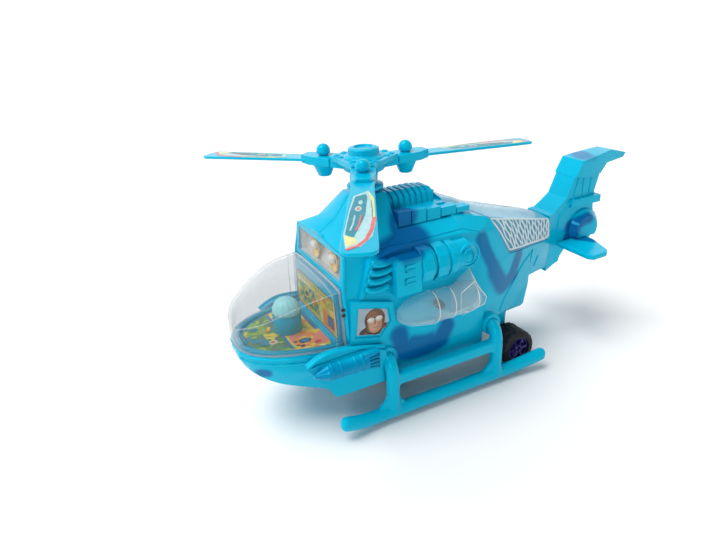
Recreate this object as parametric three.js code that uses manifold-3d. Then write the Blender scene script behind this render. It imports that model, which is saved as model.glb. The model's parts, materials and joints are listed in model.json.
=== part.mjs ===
// Toy helicopter with a spinning three-blade rotor, bump-and-go drive unit,
// light-up cockpit and missiles, in millimetres.
// Nose towards -X, tail towards +X, left (port) side towards -Y, up +Z.
// The floor is Z = 0 and the rotor shaft stands at X = ROTOR_X on the centre plane.

import * as THREE from "three";
import { mergeVertices } from "three/addons/utils/BufferGeometryUtils.js";
import { ParametricGeometry } from "three/addons/geometries/ParametricGeometry.js";
import Module from "manifold-3d";

const wasm = await Module();
wasm.setup();

// ---- driving dimensions -------------------------------------------------

const GAP = 0.3; // air left between touching pieces
const WALL = 2; // moulded shell wall
const CLEAR_WALL = 1.6; // clear plastic wall

const ROTOR_X = -54;
const BLADE_Z = 131.5;
const ROTOR_RADIUS = 110;
const BLADE_ROOT = 17.5;
const BLADE_REST = -118.4; // direction of the first blade in degrees
const KNOB_RADIUS = 25;

const CABIN_FRONT = -84.6;
const BODY_REAR = 66;
const RIM_Z = 49;
const BELLY_Z = 21;

const WHEEL_RADIUS = 11.4;
const REAR_AXLE_X = 27;
const AXLE_RADIUS = 1.2;
const TURRET_X = -44;
const TURRET_RADIUS = 18.5;

const SKID_Y = 40;
const RUNNER_FLAT_Z = 1.8; // flat underside of the skid runners, clear of the floor
const STRUT_FRONT = -63.5;
const STRUT_REAR = 4;

const CELL_RADIUS = 5.2;
const CELL_LENGTH = 44;
const CELL_PITCH = 10.6;

const BOSS_Z = 36.5;
const STRUT_RADIUS = 3.8;
const REAR_AXLE_Z = WHEEL_RADIUS;
const TURRET_PIN = 3;
const SHAFT_RADIUS = 1.5;
const RUNNING = 0.06; // clearance of a pin turning in its hole
const SMOOTHING = 0.02; // facets flatter than this are merged
const BEACON_X = -104.2; // lamp standing in the middle of the cockpit
const TRAY_X = [-99, -64.2];
const DOOR_X = [-98.4, -65];
const DOOR_Y = 20;
const DOOR_TOP = 24.4;
const DOOR_SCREW_X = DOOR_X[0] - 2;
const SPEAKER_X = -6;
const SWITCH_X = 36.6;
const CELL_Z = 31.4;
const GEAR_TEETH = 24;
const PINION_TEETH = 8;

// ---- colours --------------------------------------------------------------

const CYAN = { color: 0x10b2cc, roughness: 0.34, metalness: 0 };
const CLEAR = { color: 0xdfe9ec, roughness: 0.06, metalness: 0, transparent: true, opacity: 0.35 };
const CLEAR_BLUE = { color: 0x9fdff0, roughness: 0.2, metalness: 0, transparent: true, opacity: 0.7 };
const SILVER = { color: 0xc9ccd0, roughness: 0.2, metalness: 1 };
const STEEL = { color: 0x9a9da1, roughness: 0.35, metalness: 1 };
const BRASS = { color: 0xb8923f, roughness: 0.35, metalness: 1 };
const NYLON = { color: 0xe9e6dc, roughness: 0.5, metalness: 0 };
const CHARCOAL = { color: 0x26282b, roughness: 0.6, metalness: 0 };
const BLACK = { color: 0x0d0d0f, roughness: 0.75, metalness: 0 };
const INDIGO = { color: 0x1d1647, roughness: 0.25, metalness: 0.4 };
const AMBER = { color: 0xf0a030, roughness: 0.2, metalness: 0 };
const GREEN = { color: 0x1f6b3a, roughness: 0.5, metalness: 0 };
const CELL = { color: 0x7a7f85, roughness: 0.4, metalness: 0.3 };

// ---- solids ---------------------------------------------------------------

function toSolid(geometry) {
  const plain = geometry.index ? geometry.toNonIndexed() : geometry.clone();
  plain.deleteAttribute("normal");
  plain.deleteAttribute("uv");
  const merged = mergeVertices(plain, 1e-3);
  const index = merged.index.array;
  const triangles = [];
  for (let i = 0; i < index.length; i += 3) {
    const [a, b, c] = [index[i], index[i + 1], index[i + 2]];
    if (a !== b && b !== c && c !== a) {
      triangles.push(a, b, c);
    }
  }
  return new wasm.Manifold(
    new wasm.Mesh({
      numProp: 3,
      vertProperties: new Float32Array(merged.attributes.position.array),
      triVerts: new Uint32Array(triangles),
    })
  );
}

function toGeometry(solid) {
  const mesh = solid.getMesh();
  const geometry = new THREE.BufferGeometry();
  geometry.setAttribute("position", new THREE.BufferAttribute(mesh.vertProperties, 3));
  geometry.setIndex(new THREE.BufferAttribute(mesh.triVerts, 1));
  const flat = geometry.toNonIndexed();
  flat.computeVertexNormals();
  return flat;
}

const join = (...solids) => solids.reduce((a, b) => a.add(b));

function box(x0, x1, y0, y1, z0, z1) {
  const g = new THREE.BoxGeometry(x1 - x0, y1 - y0, z1 - z0);
  g.translate((x0 + x1) / 2, (y0 + y1) / 2, (z0 + z1) / 2);
  return toSolid(g);
}

// cylinder or cone between two heights on a vertical axis
function upright(x, y, z0, z1, r0, r1 = r0, sides = 16) {
  const g = new THREE.CylinderGeometry(r1, r0, z1 - z0, sides);
  g.rotateX(Math.PI / 2);
  g.translate(x, y, (z0 + z1) / 2);
  return toSolid(g);
}

// cylinder or cone between two sideways positions
function crosswise(x, z, y0, y1, r0, r1 = r0, sides = 16) {
  const g = new THREE.CylinderGeometry(r1, r0, y1 - y0, sides);
  g.translate(x, (y0 + y1) / 2, z);
  return toSolid(g);
}

// cylinder or cone lying along the body
function lengthwise(y, z, x0, x1, r0, r1 = r0, sides = 16) {
  const g = new THREE.CylinderGeometry(r1, r0, x1 - x0, sides);
  g.rotateZ(-Math.PI / 2);
  g.translate((x0 + x1) / 2, y, z);
  return toSolid(g);
}

function ball(x, y, z, r, sides = 10) {
  const g = new THREE.SphereGeometry(r, sides, sides / 2);
  g.rotateX(Math.PI / 2);
  g.translate(x, y, z);
  return toSolid(g);
}

// profile of [radius, height] points turned about a vertical axis
function turned(profile, sides = 16) {
  const g = new THREE.LatheGeometry(profile.map(([r, h]) => new THREE.Vector2(r, h)), sides);
  g.rotateX(Math.PI / 2);
  return toSolid(g);
}

// side-view outline of [x, z] points pulled out sideways
function sidePlate(outline, y0, y1) {
  const shape = new THREE.Shape(outline.map(([x, z]) => new THREE.Vector2(x, z)));
  const g = new THREE.ExtrudeGeometry(shape, { depth: y1 - y0, bevelEnabled: false });
  g.rotateX(Math.PI / 2);
  g.translate(0, y1, 0);
  return toSolid(g);
}

// plan outline of [x, y] points raised between two heights
function planPlate(outline, z0, z1, bevel = 0) {
  const shape = new THREE.Shape(outline.map(([x, y]) => new THREE.Vector2(x, y)));
  const g = new THREE.ExtrudeGeometry(shape, {
    depth: z1 - z0 - 2 * bevel,
    bevelEnabled: bevel > 0,
    bevelThickness: bevel,
    bevelSize: bevel,
    bevelOffset: -bevel,
    bevelSegments: 1,
  });
  g.translate(0, 0, z0 + bevel);
  return toSolid(g);
}

// round bar along a list of points
function bar(points, radius, steps = 24, tall = 1) {
  const path = new THREE.CatmullRomCurve3(points.map((p) => new THREE.Vector3(...p)), false, "centripetal");
  const section = new THREE.Shape();
  section.absellipse(0, 0, radius * tall, radius, 0, Math.PI * 2);
  const g = new THREE.ExtrudeGeometry(section, { steps, curveSegments: 5, extrudePath: path });
  return toSolid(g);
}

// closed skin through stations: each has x and a half outline of [halfWidth, z]
// points from bottom centre to top centre, mirrored to the other side
function loft(stations) {
  const rings = stations.map(({ x, half }) => {
    const left = half.map(([w, z]) => [x, -w, z]);
    const right = half.slice(1, -1).reverse().map(([w, z]) => [x, w, z]);
    return [...left, ...right];
  });
  const count = rings[0].length;
  const middle = (ring) => {
    const z = (ring[0][2] + ring[count / 2][2]) / 2;
    return ring.map(([x]) => [x, 0, z]);
  };
  const all = [middle(rings[0]), ...rings, middle(rings[rings.length - 1])];
  const g = new ParametricGeometry(
    (u, v, target) => {
      const ring = all[Math.round(v * (all.length - 1))];
      target.set(...ring[(count - Math.round(u * count)) % count]);
    },
    count,
    all.length - 1
  );
  return toSolid(g);
}

// the same stations drawn in by a wall thickness
function inset(stations, wall) {
  return stations.map(({ x, half }) => {
    const low = half[0][1];
    const high = half[half.length - 1][1];
    const middle = (low + high) / 2;
    return {
      x,
      half: half.map(([w, z]) => [
        Math.max(0, w - wall * Math.min(1, w / 6)),
        z > middle ? Math.min(z, high) - wall : z + wall,
      ]),
    };
  });
}

// outline of [y, z] points seen from the front, pulled along the body
function crossPlate(outline, x0, x1) {
  const shape = new THREE.Shape(outline.map(([y, z]) => new THREE.Vector2(y, z)));
  const g = new THREE.ExtrudeGeometry(shape, { depth: x1 - x0, bevelEnabled: false });
  g.rotateX(Math.PI / 2);
  g.rotateZ(Math.PI / 2);
  g.translate(x0, 0, 0);
  return toSolid(g);
}

const scene = new THREE.Group();

function addPart(name, solid, look) {
  const mesh = new THREE.Mesh(toGeometry(solid.simplify(SMOOTHING)), new THREE.MeshStandardMaterial(look));
  mesh.name = name;
  scene.add(mesh);
}

const mirrored = (solid) => solid.mirror([0, 1, 0]);
const moved = (solid, x, y, z) => solid.translate([x, y, z]);
const turnedBy = (solid, degrees) => solid.rotate([0, 0, degrees]);

// ---- body form --------------------------------------------------------------

// half outline of the nose tub, closed flat at the canopy rim
function noseHalf(bottom, rim, low) {
  return [
    [0, low],
    [bottom, low],
    [bottom + (rim - bottom) * 0.62, low + (RIM_Z - low) * 0.17],
    [rim - 0.9, low + (RIM_Z - low) * 0.6],
    [rim, RIM_Z],
    [rim * 0.8, RIM_Z],
    [rim * 0.55, RIM_Z],
    [rim * 0.3, RIM_Z],
    [0, RIM_Z],
  ];
}

const noseStations = [
  { x: -134.4, half: noseHalf(1.6, 4.5, 46) },
  { x: -133, half: noseHalf(4, 9.5, 41.5) },
  { x: -129, half: noseHalf(8, 16.5, 35.5) },
  { x: -122, half: noseHalf(11, 22.5, 29.8) },
  { x: -113, half: noseHalf(14, 27, 25.6) },
  { x: -100, half: noseHalf(20.5, 31, 22.4) },
  { x: CABIN_FRONT, half: noseHalf(30, 33.8, BELLY_Z) },
];

// lower half of the cabin outline, up to just over half height
const cabinLow = [
  [0, BELLY_Z],
  [31, BELLY_Z],
  [33.2, 23.6],
  [34, 46],
];

// narrow keel between the rear wheels, under the full width of the flanks
const keel = (flank) => [
  [0, BELLY_Z],
  [16, BELLY_Z],
  [16.8, 34.6],
  [flank, 37],
];

const cabinStations = [
  { x: CABIN_FRONT, half: [...cabinLow, [32.6, 72], [31, 79.8], [20, 81], [10, 81.2], [0, 81.2]] },
  { x: -82.6, half: [...cabinLow, [32, 74], [30.6, 82], [29.4, 96.8], [18, 98.2], [0, 98.6]] },
  { x: -72, half: [...cabinLow, [32, 74], [30.5, 87], [27, 98.4], [12, 105.5], [0, 106]] },
  { x: -63, half: [...cabinLow, [32, 74], [30.5, 92], [24.5, 100], [8.6, 117], [0, 117.6]] },
  { x: -47, half: [...cabinLow, [32, 74], [30.5, 95], [22, 100], [8.6, 117], [0, 117.6]] },
  { x: -46.6, half: [...cabinLow, [32, 74], [30.5, 95], [21.5, 100.4], [10, 100.4], [0, 100.4]] },
  { x: -14, half: [...cabinLow, [31.5, 74], [30, 94], [21.5, 100.4], [10, 100.4], [0, 100.4]] },
  { x: -13.8, half: [...cabinLow, [31.5, 74], [30, 94], [21.5, 100.8], [9, 108], [0, 109.4]] },
  { x: -1, half: [...cabinLow, [31, 73], [29, 91.6], [21.8, 98.8], [9, 102.8], [0, 103.8]] },
  { x: -0.8, half: [...keel(33), [31, 73], [29, 91.6], [21.8, 98.8], [9, 102.8], [0, 103.8]] },
  { x: 11, half: [...keel(30.2), [29.6, 71], [27, 87], [22, 95.4], [9, 97.6], [0, 98.4]] },
  { x: 29.8, half: [...keel(24.4), [24.8, 71], [22, 82], [18.6, 89.8], [8, 90.6], [0, 91.2]] },
  {
    x: 30,
    half: [[0, 27.6], [15, 27.6], [17, 30.4], [24, 42], [24.8, 71], [22, 82], [18.6, 89.8], [8, 90.6], [0, 91.2]],
  },
  {
    x: 43.6,
    half: [[0, 27.6], [14, 27.6], [16.4, 30.4], [19.6, 46], [20.2, 70], [18.2, 78], [16, 86], [7, 87], [0, 87.6]],
  },
  {
    x: 44,
    half: [[0, 46], [11, 46], [16, 48], [19, 57], [20, 69.8], [18, 77.8], [15.8, 85.8], [7, 86.8], [0, 87.4]],
  },
  {
    x: 56,
    half: [[0, 45.6], [9, 45.6], [13, 48], [15, 56], [16.4, 68.6], [15.2, 75.6], [13.4, 82.6], [6, 84.4], [0, 85]],
  },
  {
    x: BODY_REAR,
    half: [[0, 45.2], [7, 45.2], [9.8, 47], [10.8, 55], [12.2, 66], [11.8, 73], [10.6, 79.6], [5, 80.6], [0, 81]],
  },
];

// right half of the canopy seat in plan, drawn in by a margin
function rimOutline(margin) {
  return noseStations
    .map(({ x, half }) => [x, half[4][0] - margin])
    .filter(([, y]) => y > 4)
    .map(([x, y], i) => [i === 0 ? x + margin : x, y]);
}

// side-view outline of the part of the body that is the clear rear cover
const coverCut = [
  [-13.4, 112],
  [-13.4, 104.4],
  [-3, 101.4],
  [9.4, 95.4],
  [21.4, 72.6],
  [63.4, 67.8],
  [64.6, 82.6],
  [64.6, 112],
];

const bodyForm = join(loft(noseStations), loft(cabinStations));
const cavityForm = join(
  loft([
    { x: -132, half: noseHalf(4, 8, 44) },
    ...inset(noseStations.slice(2, -1), WALL),
    { x: CABIN_FRONT + WALL, half: noseHalf(22, 31.8, BELLY_Z + WALL) },
  ]).subtract(box(-140, -80, -40, 40, 45, 60)),
  loft([
    { ...inset([cabinStations[1]], WALL)[0], x: CABIN_FRONT + WALL + 2 },
    ...inset(cabinStations.slice(2, -1), WALL),
    { ...inset([cabinStations[cabinStations.length - 1]], WALL)[0], x: BODY_REAR - WALL },
  ]),
  box(-84, -80, -27.4, 27.4, BELLY_Z + WALL, 43)
);

// ---- shells -----------------------------------------------------------------

// jet pod on the left flank: square intake box, straps and a round tail end
function enginePod() {
  const y = -29.5;
  const z = 82.6;
  const intake = box(-58.5, -44, -38.5, y, 71.6, 91);
  const tube = lengthwise(y, z, -44.2, -13, 9, 9, 24);
  const tail = lengthwise(y, z, -13.1, -8.6, 9, 6.4, 24);
  const straps = [
    [-43.6, -36.8, 10.4],
    [-34.4, -27.8, 10.2],
    [-26, -21.6, 9.8],
  ].map(([x0, x1, r]) => lengthwise(y, z, x0, x1, r, r, 24));
  return join(intake, tube, tail, ...straps).intersect(box(-70, 0, -41, -28, 60, 100));
}

// wedge under the cabin door, with a moulded rocket on its face
function wedge() {
  const outline = [
    [-65.4, 25],
    [-65.4, 43],
    [-74, 47.8],
    [-109, 46.6],
    [-94.6, 25.2],
  ];
  const rocket = join(
    lengthwise(-37.6, 41.6, -99, -77, 4.8),
    lengthwise(-37.6, 41.6, -106, -98.9, 1.2, 4.8),
    box(-80, -71, -40.8, -37.6, 36.6, 46.8)
  );
  const plan = [
    [-110, -43],
    [-109, -37.6],
    [-97, -28],
    [-97, -18],
    [-60, -18],
    [-60, -43],
  ];
  return join(sidePlate(outline, -37.8, -20), rocket).intersect(planPlate(plan, 20, 50));
}

// slanted rib, louvres and the raised frame of the pilot picture
function cabinTrim() {
  const frame = sidePlate(
    [[-84, 50.4], [-66, 46.6], [-57.4, 56], [-59, 68], [-81.8, 74]],
    -34.8,
    -30
  ).subtract(sidePlate([[-81, 53.4], [-67, 50], [-60.2, 57.4], [-61.4, 65.6], [-79, 70.4]], -36, -34));
  const rib = sidePlate([[-77, 73.4], [-74.6, 73.4], [-67.6, 92], [-70, 92]], -33.4, -28);
  const louvres = [75.6, 80, 84.4, 88.8].map((z) => box(-73 + (z - 75) * 0.3, -60, -34, -28, z, z + 2.2));
  return join(frame, rib, ...louvres);
}

// sockets, louvres and pods of one flank, and the ear that carries the rear axle
function flankTrim() {
  const bosses = [STRUT_FRONT, STRUT_REAR].map((x) => crosswise(x, BOSS_Z, -35.6, -28, 6.2));
  const earX = [REAR_AXLE_X - 3.6, REAR_AXLE_X + 3.6];
  const ear = box(...earX, -15.6, -12.4, REAR_AXLE_Z - 3.4, 32);
  return join(enginePod(), wedge(), cabinTrim(), ear, ...bosses);
}

// skid leg from its socket in the flank, out and down to the runner
function strut(x, margin = 0) {
  return bar(
    [
      [x, -29.6 + margin, BOSS_Z],
      [x, -35.6, BOSS_Z],
      [x, -38.8, 33],
      [x, -SKID_Y, 27],
      [x, -SKID_Y, 6],
    ],
    STRUT_RADIUS + margin,
    7
  );
}

const lampRecess = sidePlate([[-90, 81.8], [-77.4, 81.8], [-74.4, 95.2], [-90, 95.2]], -27, 27);
const cockpitHole = planPlate(
  [...rimOutline(3), ...rimOutline(3).map(([x, y]) => [x, -y]).reverse()],
  43,
  60
);

const openings = join(
  lampRecess,
  cockpitHole,
  sidePlate(coverCut, -45, 45),
  upright(TURRET_X, 0, 10, BELLY_Z + WALL + 6, TURRET_RADIUS + 1),
  box(...DOOR_X, -DOOR_Y, DOOR_Y, 15, DOOR_TOP + GAP),
  box(DOOR_X[0] - 5, DOOR_X[0] + 1, -4.3, 4.3, 15, DOOR_TOP + GAP),
  upright(ROTOR_X, 0, 90, 130, SHAFT_RADIUS + 1.5),
  crosswise(REAR_AXLE_X, REAR_AXLE_Z, -30, 30, AXLE_RADIUS + RUNNING),
  strut(STRUT_FRONT, GAP),
  strut(STRUT_REAR, GAP),
  box(SWITCH_X - 2.3, SWITCH_X + 2.3, -6.2, 6.2, 20, 32)
);

// screw towers joining the two shells, as [x, z]
const screwSpots = [
  [-106, 38],
  [-79, 62],
  [22, 60],
  [52, 57],
];
const SCREW_SEAT = 6;

function screwTower([x, z], reach) {
  return crosswise(x, z, -reach, -GAP / 2, 4.6, 4.6, 12);
}

const halfSpace = box(-150, 150, -GAP / 2, 60, -10, 200);
const towers = join(...screwSpots.map((spot) => screwTower(spot, 34).intersect(bodyForm)));
const leftSkin = join(bodyForm, flankTrim()).subtract(join(cavityForm, openings));
const leftHalf = join(leftSkin, towers.subtract(sidePlate(coverCut, -45, 45))).subtract(halfSpace);
const pilotHoles = join(
  ...screwSpots.map(([x, z]) => crosswise(x, z, -11, 1, 1.35, 1.35, 10))
);
const screwPockets = join(
  ...screwSpots.map(([x, z]) => crosswise(x, z, -60, -SCREW_SEAT, 3.3, 3.3, 12)),
  ...screwSpots.map(([x, z]) => crosswise(x, z, -SCREW_SEAT - 1, 1, 1.6, 1.6, 10))
);

addPart("shell_left", leftHalf.subtract(pilotHoles), CYAN);
addPart("shell_right", mirrored(leftHalf.subtract(screwPockets)), CYAN);

screwSpots.forEach(([x, z], i) => {
  const screw = join(
    crosswise(x, z, SCREW_SEAT + 0.2, SCREW_SEAT + 2, 2.8, 2.8, 12),
    crosswise(x, z, -10, SCREW_SEAT + 0.4, 1.2, 1.2, 8)
  );
  addPart(`shell_screw_${i + 1}`, screw, STEEL);
});

// ---- clear rear cover and ribbed engine cowl ----------------------------------

// stepped blocks along the roof edge, falling towards the tail
const cowlBlocks = [
  [-46.2, -38.6, 100.8, 108.6],
  [-38, -29.4, 100.8, 108],
  [-28.8, -20.6, 100.8, 107.2],
  [-20, -10.6, 101.4, 106.2],
  [-10, -2, 101.4, 104.4],
];

function blockRow(spread) {
  const rails = cowlBlocks.map(([x0, x1, z0, z1]) =>
    box(x0 - spread, x1 + spread, -20.2 - spread, -14.4 + spread, z0 - spread, z1 + spread)
  );
  const link = box(-46.2 - spread, -2 + spread, -18.8 - spread, -15 + spread, 101.4 - spread, 104 + spread);
  return join(...rails, link).subtract(moved(loft(cabinStations), 0, 0, GAP));
}

const ribCount = 8;
const ribProfile = [
  [-9.6, 106.8],
  [9.6, 106.8],
  [8.4, 112.6],
  [4.6, 115.2],
  [-4.6, 115.2],
  [-8.4, 112.6],
];

// slice of the cowl between two stations, drawn in by a share of its size
function ribSlab(x0, x1, shrink) {
  const outline = ribProfile.map(([y, z]) => [y * (1 - shrink), z > 107 ? z - shrink * 14 : z]);
  return crossPlate(outline, x0, x1);
}

const cowlBase = box(-46.2, -14.2, -14.6, 14.6, 100.8, 107);
const ribs = Array.from({ length: ribCount }, (_, i) => {
  const x = -46 + i * 3.6;
  return ribSlab(x, x + 2.2, 0.03 * Math.max(0, i - 5));
});
addPart(
  "engine_cowl",
  join(cowlBase, ribSlab(-46, -17, 0.12), ...ribs, blockRow(0), mirrored(blockRow(0))),
  CYAN
);

const coverForm = loft(cabinStations)
  .intersect(sidePlate(coverCut.map(([x, z]) => [x, z + GAP]), -45, 45))
  .intersect(box(-13.1, 64.3, -40, 40, 60, 120))
  .subtract(loft(inset(cabinStations.slice(7), CLEAR_WALL)));
addPart("tail_cover", coverForm.subtract(join(blockRow(GAP), mirrored(blockRow(GAP)))), CLEAR);

// ---- cockpit ------------------------------------------------------------------

const floorOutline = rimOutline(3 + GAP);
const tubFloor = planPlate(
  [...floorOutline, ...floorOutline.map(([x, y]) => [x, -y]).reverse()],
  44.6,
  47.2
);
const bulkheadOutline = [
  [-29.6, 49.6],
  [29.6, 49.6],
  [27.4, 72],
  [25.4, 76.4],
  [-25.4, 76.4],
  [-27.4, 72],
];
const bulkhead = crossPlate(bulkheadOutline, CABIN_FRONT - 2.4, CABIN_FRONT - GAP)
  .add(box(CABIN_FRONT - 3.4, CABIN_FRONT - GAP - 0.1, -26, 26, 46, 50));
addPart(
  "cockpit_tub",
  join(tubFloor, bulkhead, upright(BEACON_X, 0, 47, 59.2, 7.4)),
  CYAN
);

const beaconProfile = [
  [0, 59.5],
  [7.5, 59.5],
  [7.5, 63.4],
  [6.6, 67],
  [4, 69.9],
  [0, 71],
];
addPart("beacon_dome", moved(turned(beaconProfile), BEACON_X, 0, 0), CLEAR_BLUE);

// seat, side, crease and crest of the canopy at stations along the nose
const canopyStations = [
  { x: -134.4, half: [[0, 49.3], [4.2, 49.3], [4.6, 54], [4.1, 59.5], [2.4, 61.6], [0, 62.4]] },
  { x: -133, half: [[0, 49.3], [9.2, 49.3], [9.5, 55], [8.9, 62], [5, 64.6], [0, 65.8]] },
  { x: -129, half: [[0, 49.3], [16.2, 49.3], [16.3, 57], [15.6, 64.8], [9, 68.6], [0, 70.4]] },
  { x: -122, half: [[0, 49.3], [22.2, 49.3], [22.2, 58.5], [21.4, 68], [12.5, 72.8], [0, 75]] },
  { x: -113, half: [[0, 49.3], [26.7, 49.3], [26.6, 61], [25.8, 72.5], [15, 77], [0, 79]] },
  { x: -100, half: [[0, 49.3], [30.7, 49.3], [30.6, 63], [29.6, 77], [18, 80.4], [0, 81.6]] },
  {
    x: CABIN_FRONT - GAP,
    half: [[0, 49.3], [33.4, 49.3], [32.4, 64], [30.4, 79], [20, 80.2], [0, 80.6]],
  },
];
const canopyRoom = canopyStations.map(({ x, half }, i) => ({
  x: i === 0 ? x + CLEAR_WALL * 0.7 : x + (i === canopyStations.length - 1 ? 4 : 0),
  half: half.map(([w, z]) => [Math.max(0, w - CLEAR_WALL * Math.min(1, w / 5)), z < 50 ? 40 : z - CLEAR_WALL]),
}));
addPart("canopy", loft(canopyStations).subtract(loft(canopyRoom)), CLEAR);

// ---- headlamps ------------------------------------------------------------------

const LAMP_Y = 11.6;
const LAMP_Z = 88;
const reflector = sidePlate([[-79.8, 82.1], [-77.8, 82.1], [-74.9, 94.9], [-76.9, 94.9]], -26.6, 26.6);
const bowls = [-LAMP_Y, LAMP_Y].map((y) => lengthwise(y, LAMP_Z, -81, -77.7, 5.6, 2));
addPart("lamp_reflector", reflector.subtract(join(...bowls)), SILVER);
addPart(
  "lamp_window",
  sidePlate([[-84.5, 82.1], [-83.3, 82.1], [-81.8, 94.9], [-83, 94.9]], -26.6, 26.6),
  CLEAR
);
for (const [name, y] of [["headlamp_left", -LAMP_Y], ["headlamp_right", LAMP_Y]]) {
  const lens = join(ball(-80.1, y, LAMP_Z, 2.2, 12), lengthwise(y, LAMP_Z, -80.1, -78, 1.4, 1.4, 12));
  addPart(name, lens, CLEAR);
}

// ---- tail -------------------------------------------------------------------------

const finOutline = [
  [66.3, 44],
  [78, 47.6],
  [79, 51],
  [84.4, 57],
  [104, 57],
  [108, 60],
  [109.4, 66],
  [105.6, 78.5],
  [105.4, 89.5],
  [109.4, 101],
  [114.6, 106],
  [131, 106.8],
  [133.4, 109.4],
  [117.4, 113.8],
  [91.4, 111],
  [86.6, 102.4],
  [81, 89.4],
  [70.6, 81.6],
  [66.3, 81],
];
const finRoom = [
  [60, 49],
  [76, 49.6],
  [84, 59.4],
  [103, 59.4],
  [105.6, 67],
  [102.8, 78],
  [102.8, 90],
  [107, 102.4],
  [112, 108],
  [93, 108.4],
  [89, 101.8],
  [83.6, 88],
  [71.6, 78.6],
  [60, 78.6],
];
const finPlan = [
  [66.3, -9.9],
  [74, -8.4],
  [100, -7.4],
  [134, -3.2],
  [134, 3.2],
  [100, 7.4],
  [74, 8.4],
  [66.3, 9.9],
];
const capOutline = finOutline.slice(9, 16).concat([[86, 101.6], [109.2, 100.4]]);
const hump = join(
  crosswise(96.6, 67.4, -9, 9, 12.2),
  crosswise(96.6, 67.4, -12.6, -8.9, 8.6, 12.2),
  crosswise(96.6, 67.4, 8.9, 12.6, 12.2, 8.6)
).intersect(box(80, 120, -20, 20, 62.4, 90));
const tailShell = join(
  sidePlate(finOutline, -12, 12).intersect(planPlate(finPlan, 40, 120)),
  sidePlate(capOutline, -12, 12).intersect(planPlate(finPlan.map(([x, y]) => [x, y * 1.14]), 40, 120)),
  box(84, 108, -10, 10, 82.8, 87.4),
  hump
);
const tailRoom = sidePlate(finRoom, -12, 12)
  .intersect(planPlate(finPlan.map(([x, y]) => [x - 6, y - Math.sign(y) * WALL]), 40, 120));
addPart("tail_fin", tailShell.subtract(tailRoom), CYAN);

const stabiliserOutline = [
  [75.4, -8.7],
  [98.4, -8.7],
  [97.6, -18],
  [91.6, -34.4],
  [88, -37.2],
  [78, -37.6],
  [75, -34.4],
];
const stabiliser = planPlate(stabiliserOutline.reverse(), 58.6, 61.8, 0.6);
addPart("stabiliser_left", stabiliser, CYAN);
addPart("stabiliser_right", mirrored(stabiliser), CYAN);

// ---- missiles ------------------------------------------------------------------------

const MISSILE_Y = -34.2;
const MISSILE_Z = 59.2;
const missileProfile = (wall) => [
  [0, -57 + wall],
  [3.6, -55.4 + wall],
  [6.6 - wall * 0.6, -51.5 + wall * 0.6],
  [8.6 - wall, -46],
  [9.4 - wall, -39],
  [9.4 - wall, -28],
  [8.4 - wall, -16],
  [8.4 - wall, -9 - wall],
  [0, -9 - wall],
];

function missileBody(wall) {
  const g = new THREE.LatheGeometry(
    missileProfile(wall).map(([r, x]) => new THREE.Vector2(r, x)),
    16
  );
  g.rotateZ(-Math.PI / 2);
  g.translate(0, MISSILE_Y, MISSILE_Z);
  return toSolid(g);
}

const finSide = [
  [-24, 50],
  [-16, 47.6],
  [-2.4, 51],
  [-0.8, 57],
  [-9.4, 70.4],
  [-12, 75.6],
  [-24, 67.8],
];
const finSideRoom = [
  [-23, 51.6],
  [-16, 49.4],
  [-4, 52.2],
  [-2.8, 56.8],
  [-11, 69.4],
  [-12.6, 73],
  [-23, 66.2],
];
const missileOuter = join(
  missileBody(0),
  lengthwise(MISSILE_Y, MISSILE_Z, -38.6, -37, 9.9),
  sidePlate(finSide, -40.6, MISSILE_Y)
);
const missileInner = join(missileBody(CLEAR_WALL), sidePlate(finSideRoom, -39, MISSILE_Y + 1));
const missile = missileOuter
  .subtract(missileInner)
  .intersect(box(-70, 10, -60, MISSILE_Y, 40, 90));
const missileLamp = join(
  crosswise(-31.6, MISSILE_Z, -37.6, -33.6, 2.4, 2.4, 12),
  ball(-31.6, -37.6, MISSILE_Z, 2.4)
);
addPart("missile_left", missile, CLEAR);
addPart("missile_right", mirrored(missile), CLEAR);
addPart("missile_lamp_left", missileLamp, AMBER);
addPart("missile_lamp_right", mirrored(missileLamp), AMBER);

// ---- skids ---------------------------------------------------------------------------

const runner = bar(
  [
    [-93, -42.4, 10.6],
    [-84, -41.4, 7.8],
    [-70, -SKID_Y, 6],
    [0, -SKID_Y, 6],
    [14, -SKID_Y, 6],
    [36, -42.4, 10],
  ],
  3.4,
  10,
  1.38
);
const skid = join(
  strut(STRUT_FRONT),
  strut(STRUT_REAR),
  runner,
  ball(-93, -42.4, 10.6, 3.9),
  ball(36, -42.4, 10, 3.9),
  box(STRUT_FRONT, STRUT_REAR, -SKID_Y - 2.8, -SKID_Y + 2.8, 22.8, 29.4),
  sidePlate([[-74, 9.4], [-62, 9.4], [-62, 17]], -SKID_Y - 1.6, -SKID_Y + 1.6)
).intersect(box(-120, 60, -60, 0, RUNNER_FLAT_Z, 60));
addPart("skid_left", skid, CYAN);
addPart("skid_right", mirrored(skid), CYAN);

// ---- rotor -----------------------------------------------------------------------------

const hubProfile = [
  [SHAFT_RADIUS + 0.1, 118.6],
  [9.6, 118.6],
  [9.6, 120.8],
  [6.4, 121.6],
  [7.2, 127.4],
  [10.6, 128.6],
  [10.6, 135.4],
  [8, 136.6],
  [8, 139.4],
  [6, 140.2],
  [0, 140.2],
  [0, 133],
  [SHAFT_RADIUS + 0.1, 133],
  [SHAFT_RADIUS + 0.1, 118.6],
];
const hubArms = [0, 120, 240].map((angle) =>
  turnedBy(
    join(box(4, BLADE_ROOT - GAP, -6, 6, 128.8, 134.6), upright(13.4, 0, 134.5, 135.8, 2, 1.6, 8)),
    BLADE_REST + angle
  )
);
const rotorHub = join(turned(hubProfile), ...hubArms);
addPart("rotor_hub", moved(rotorHub, ROTOR_X, 0, 0), CYAN);

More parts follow.
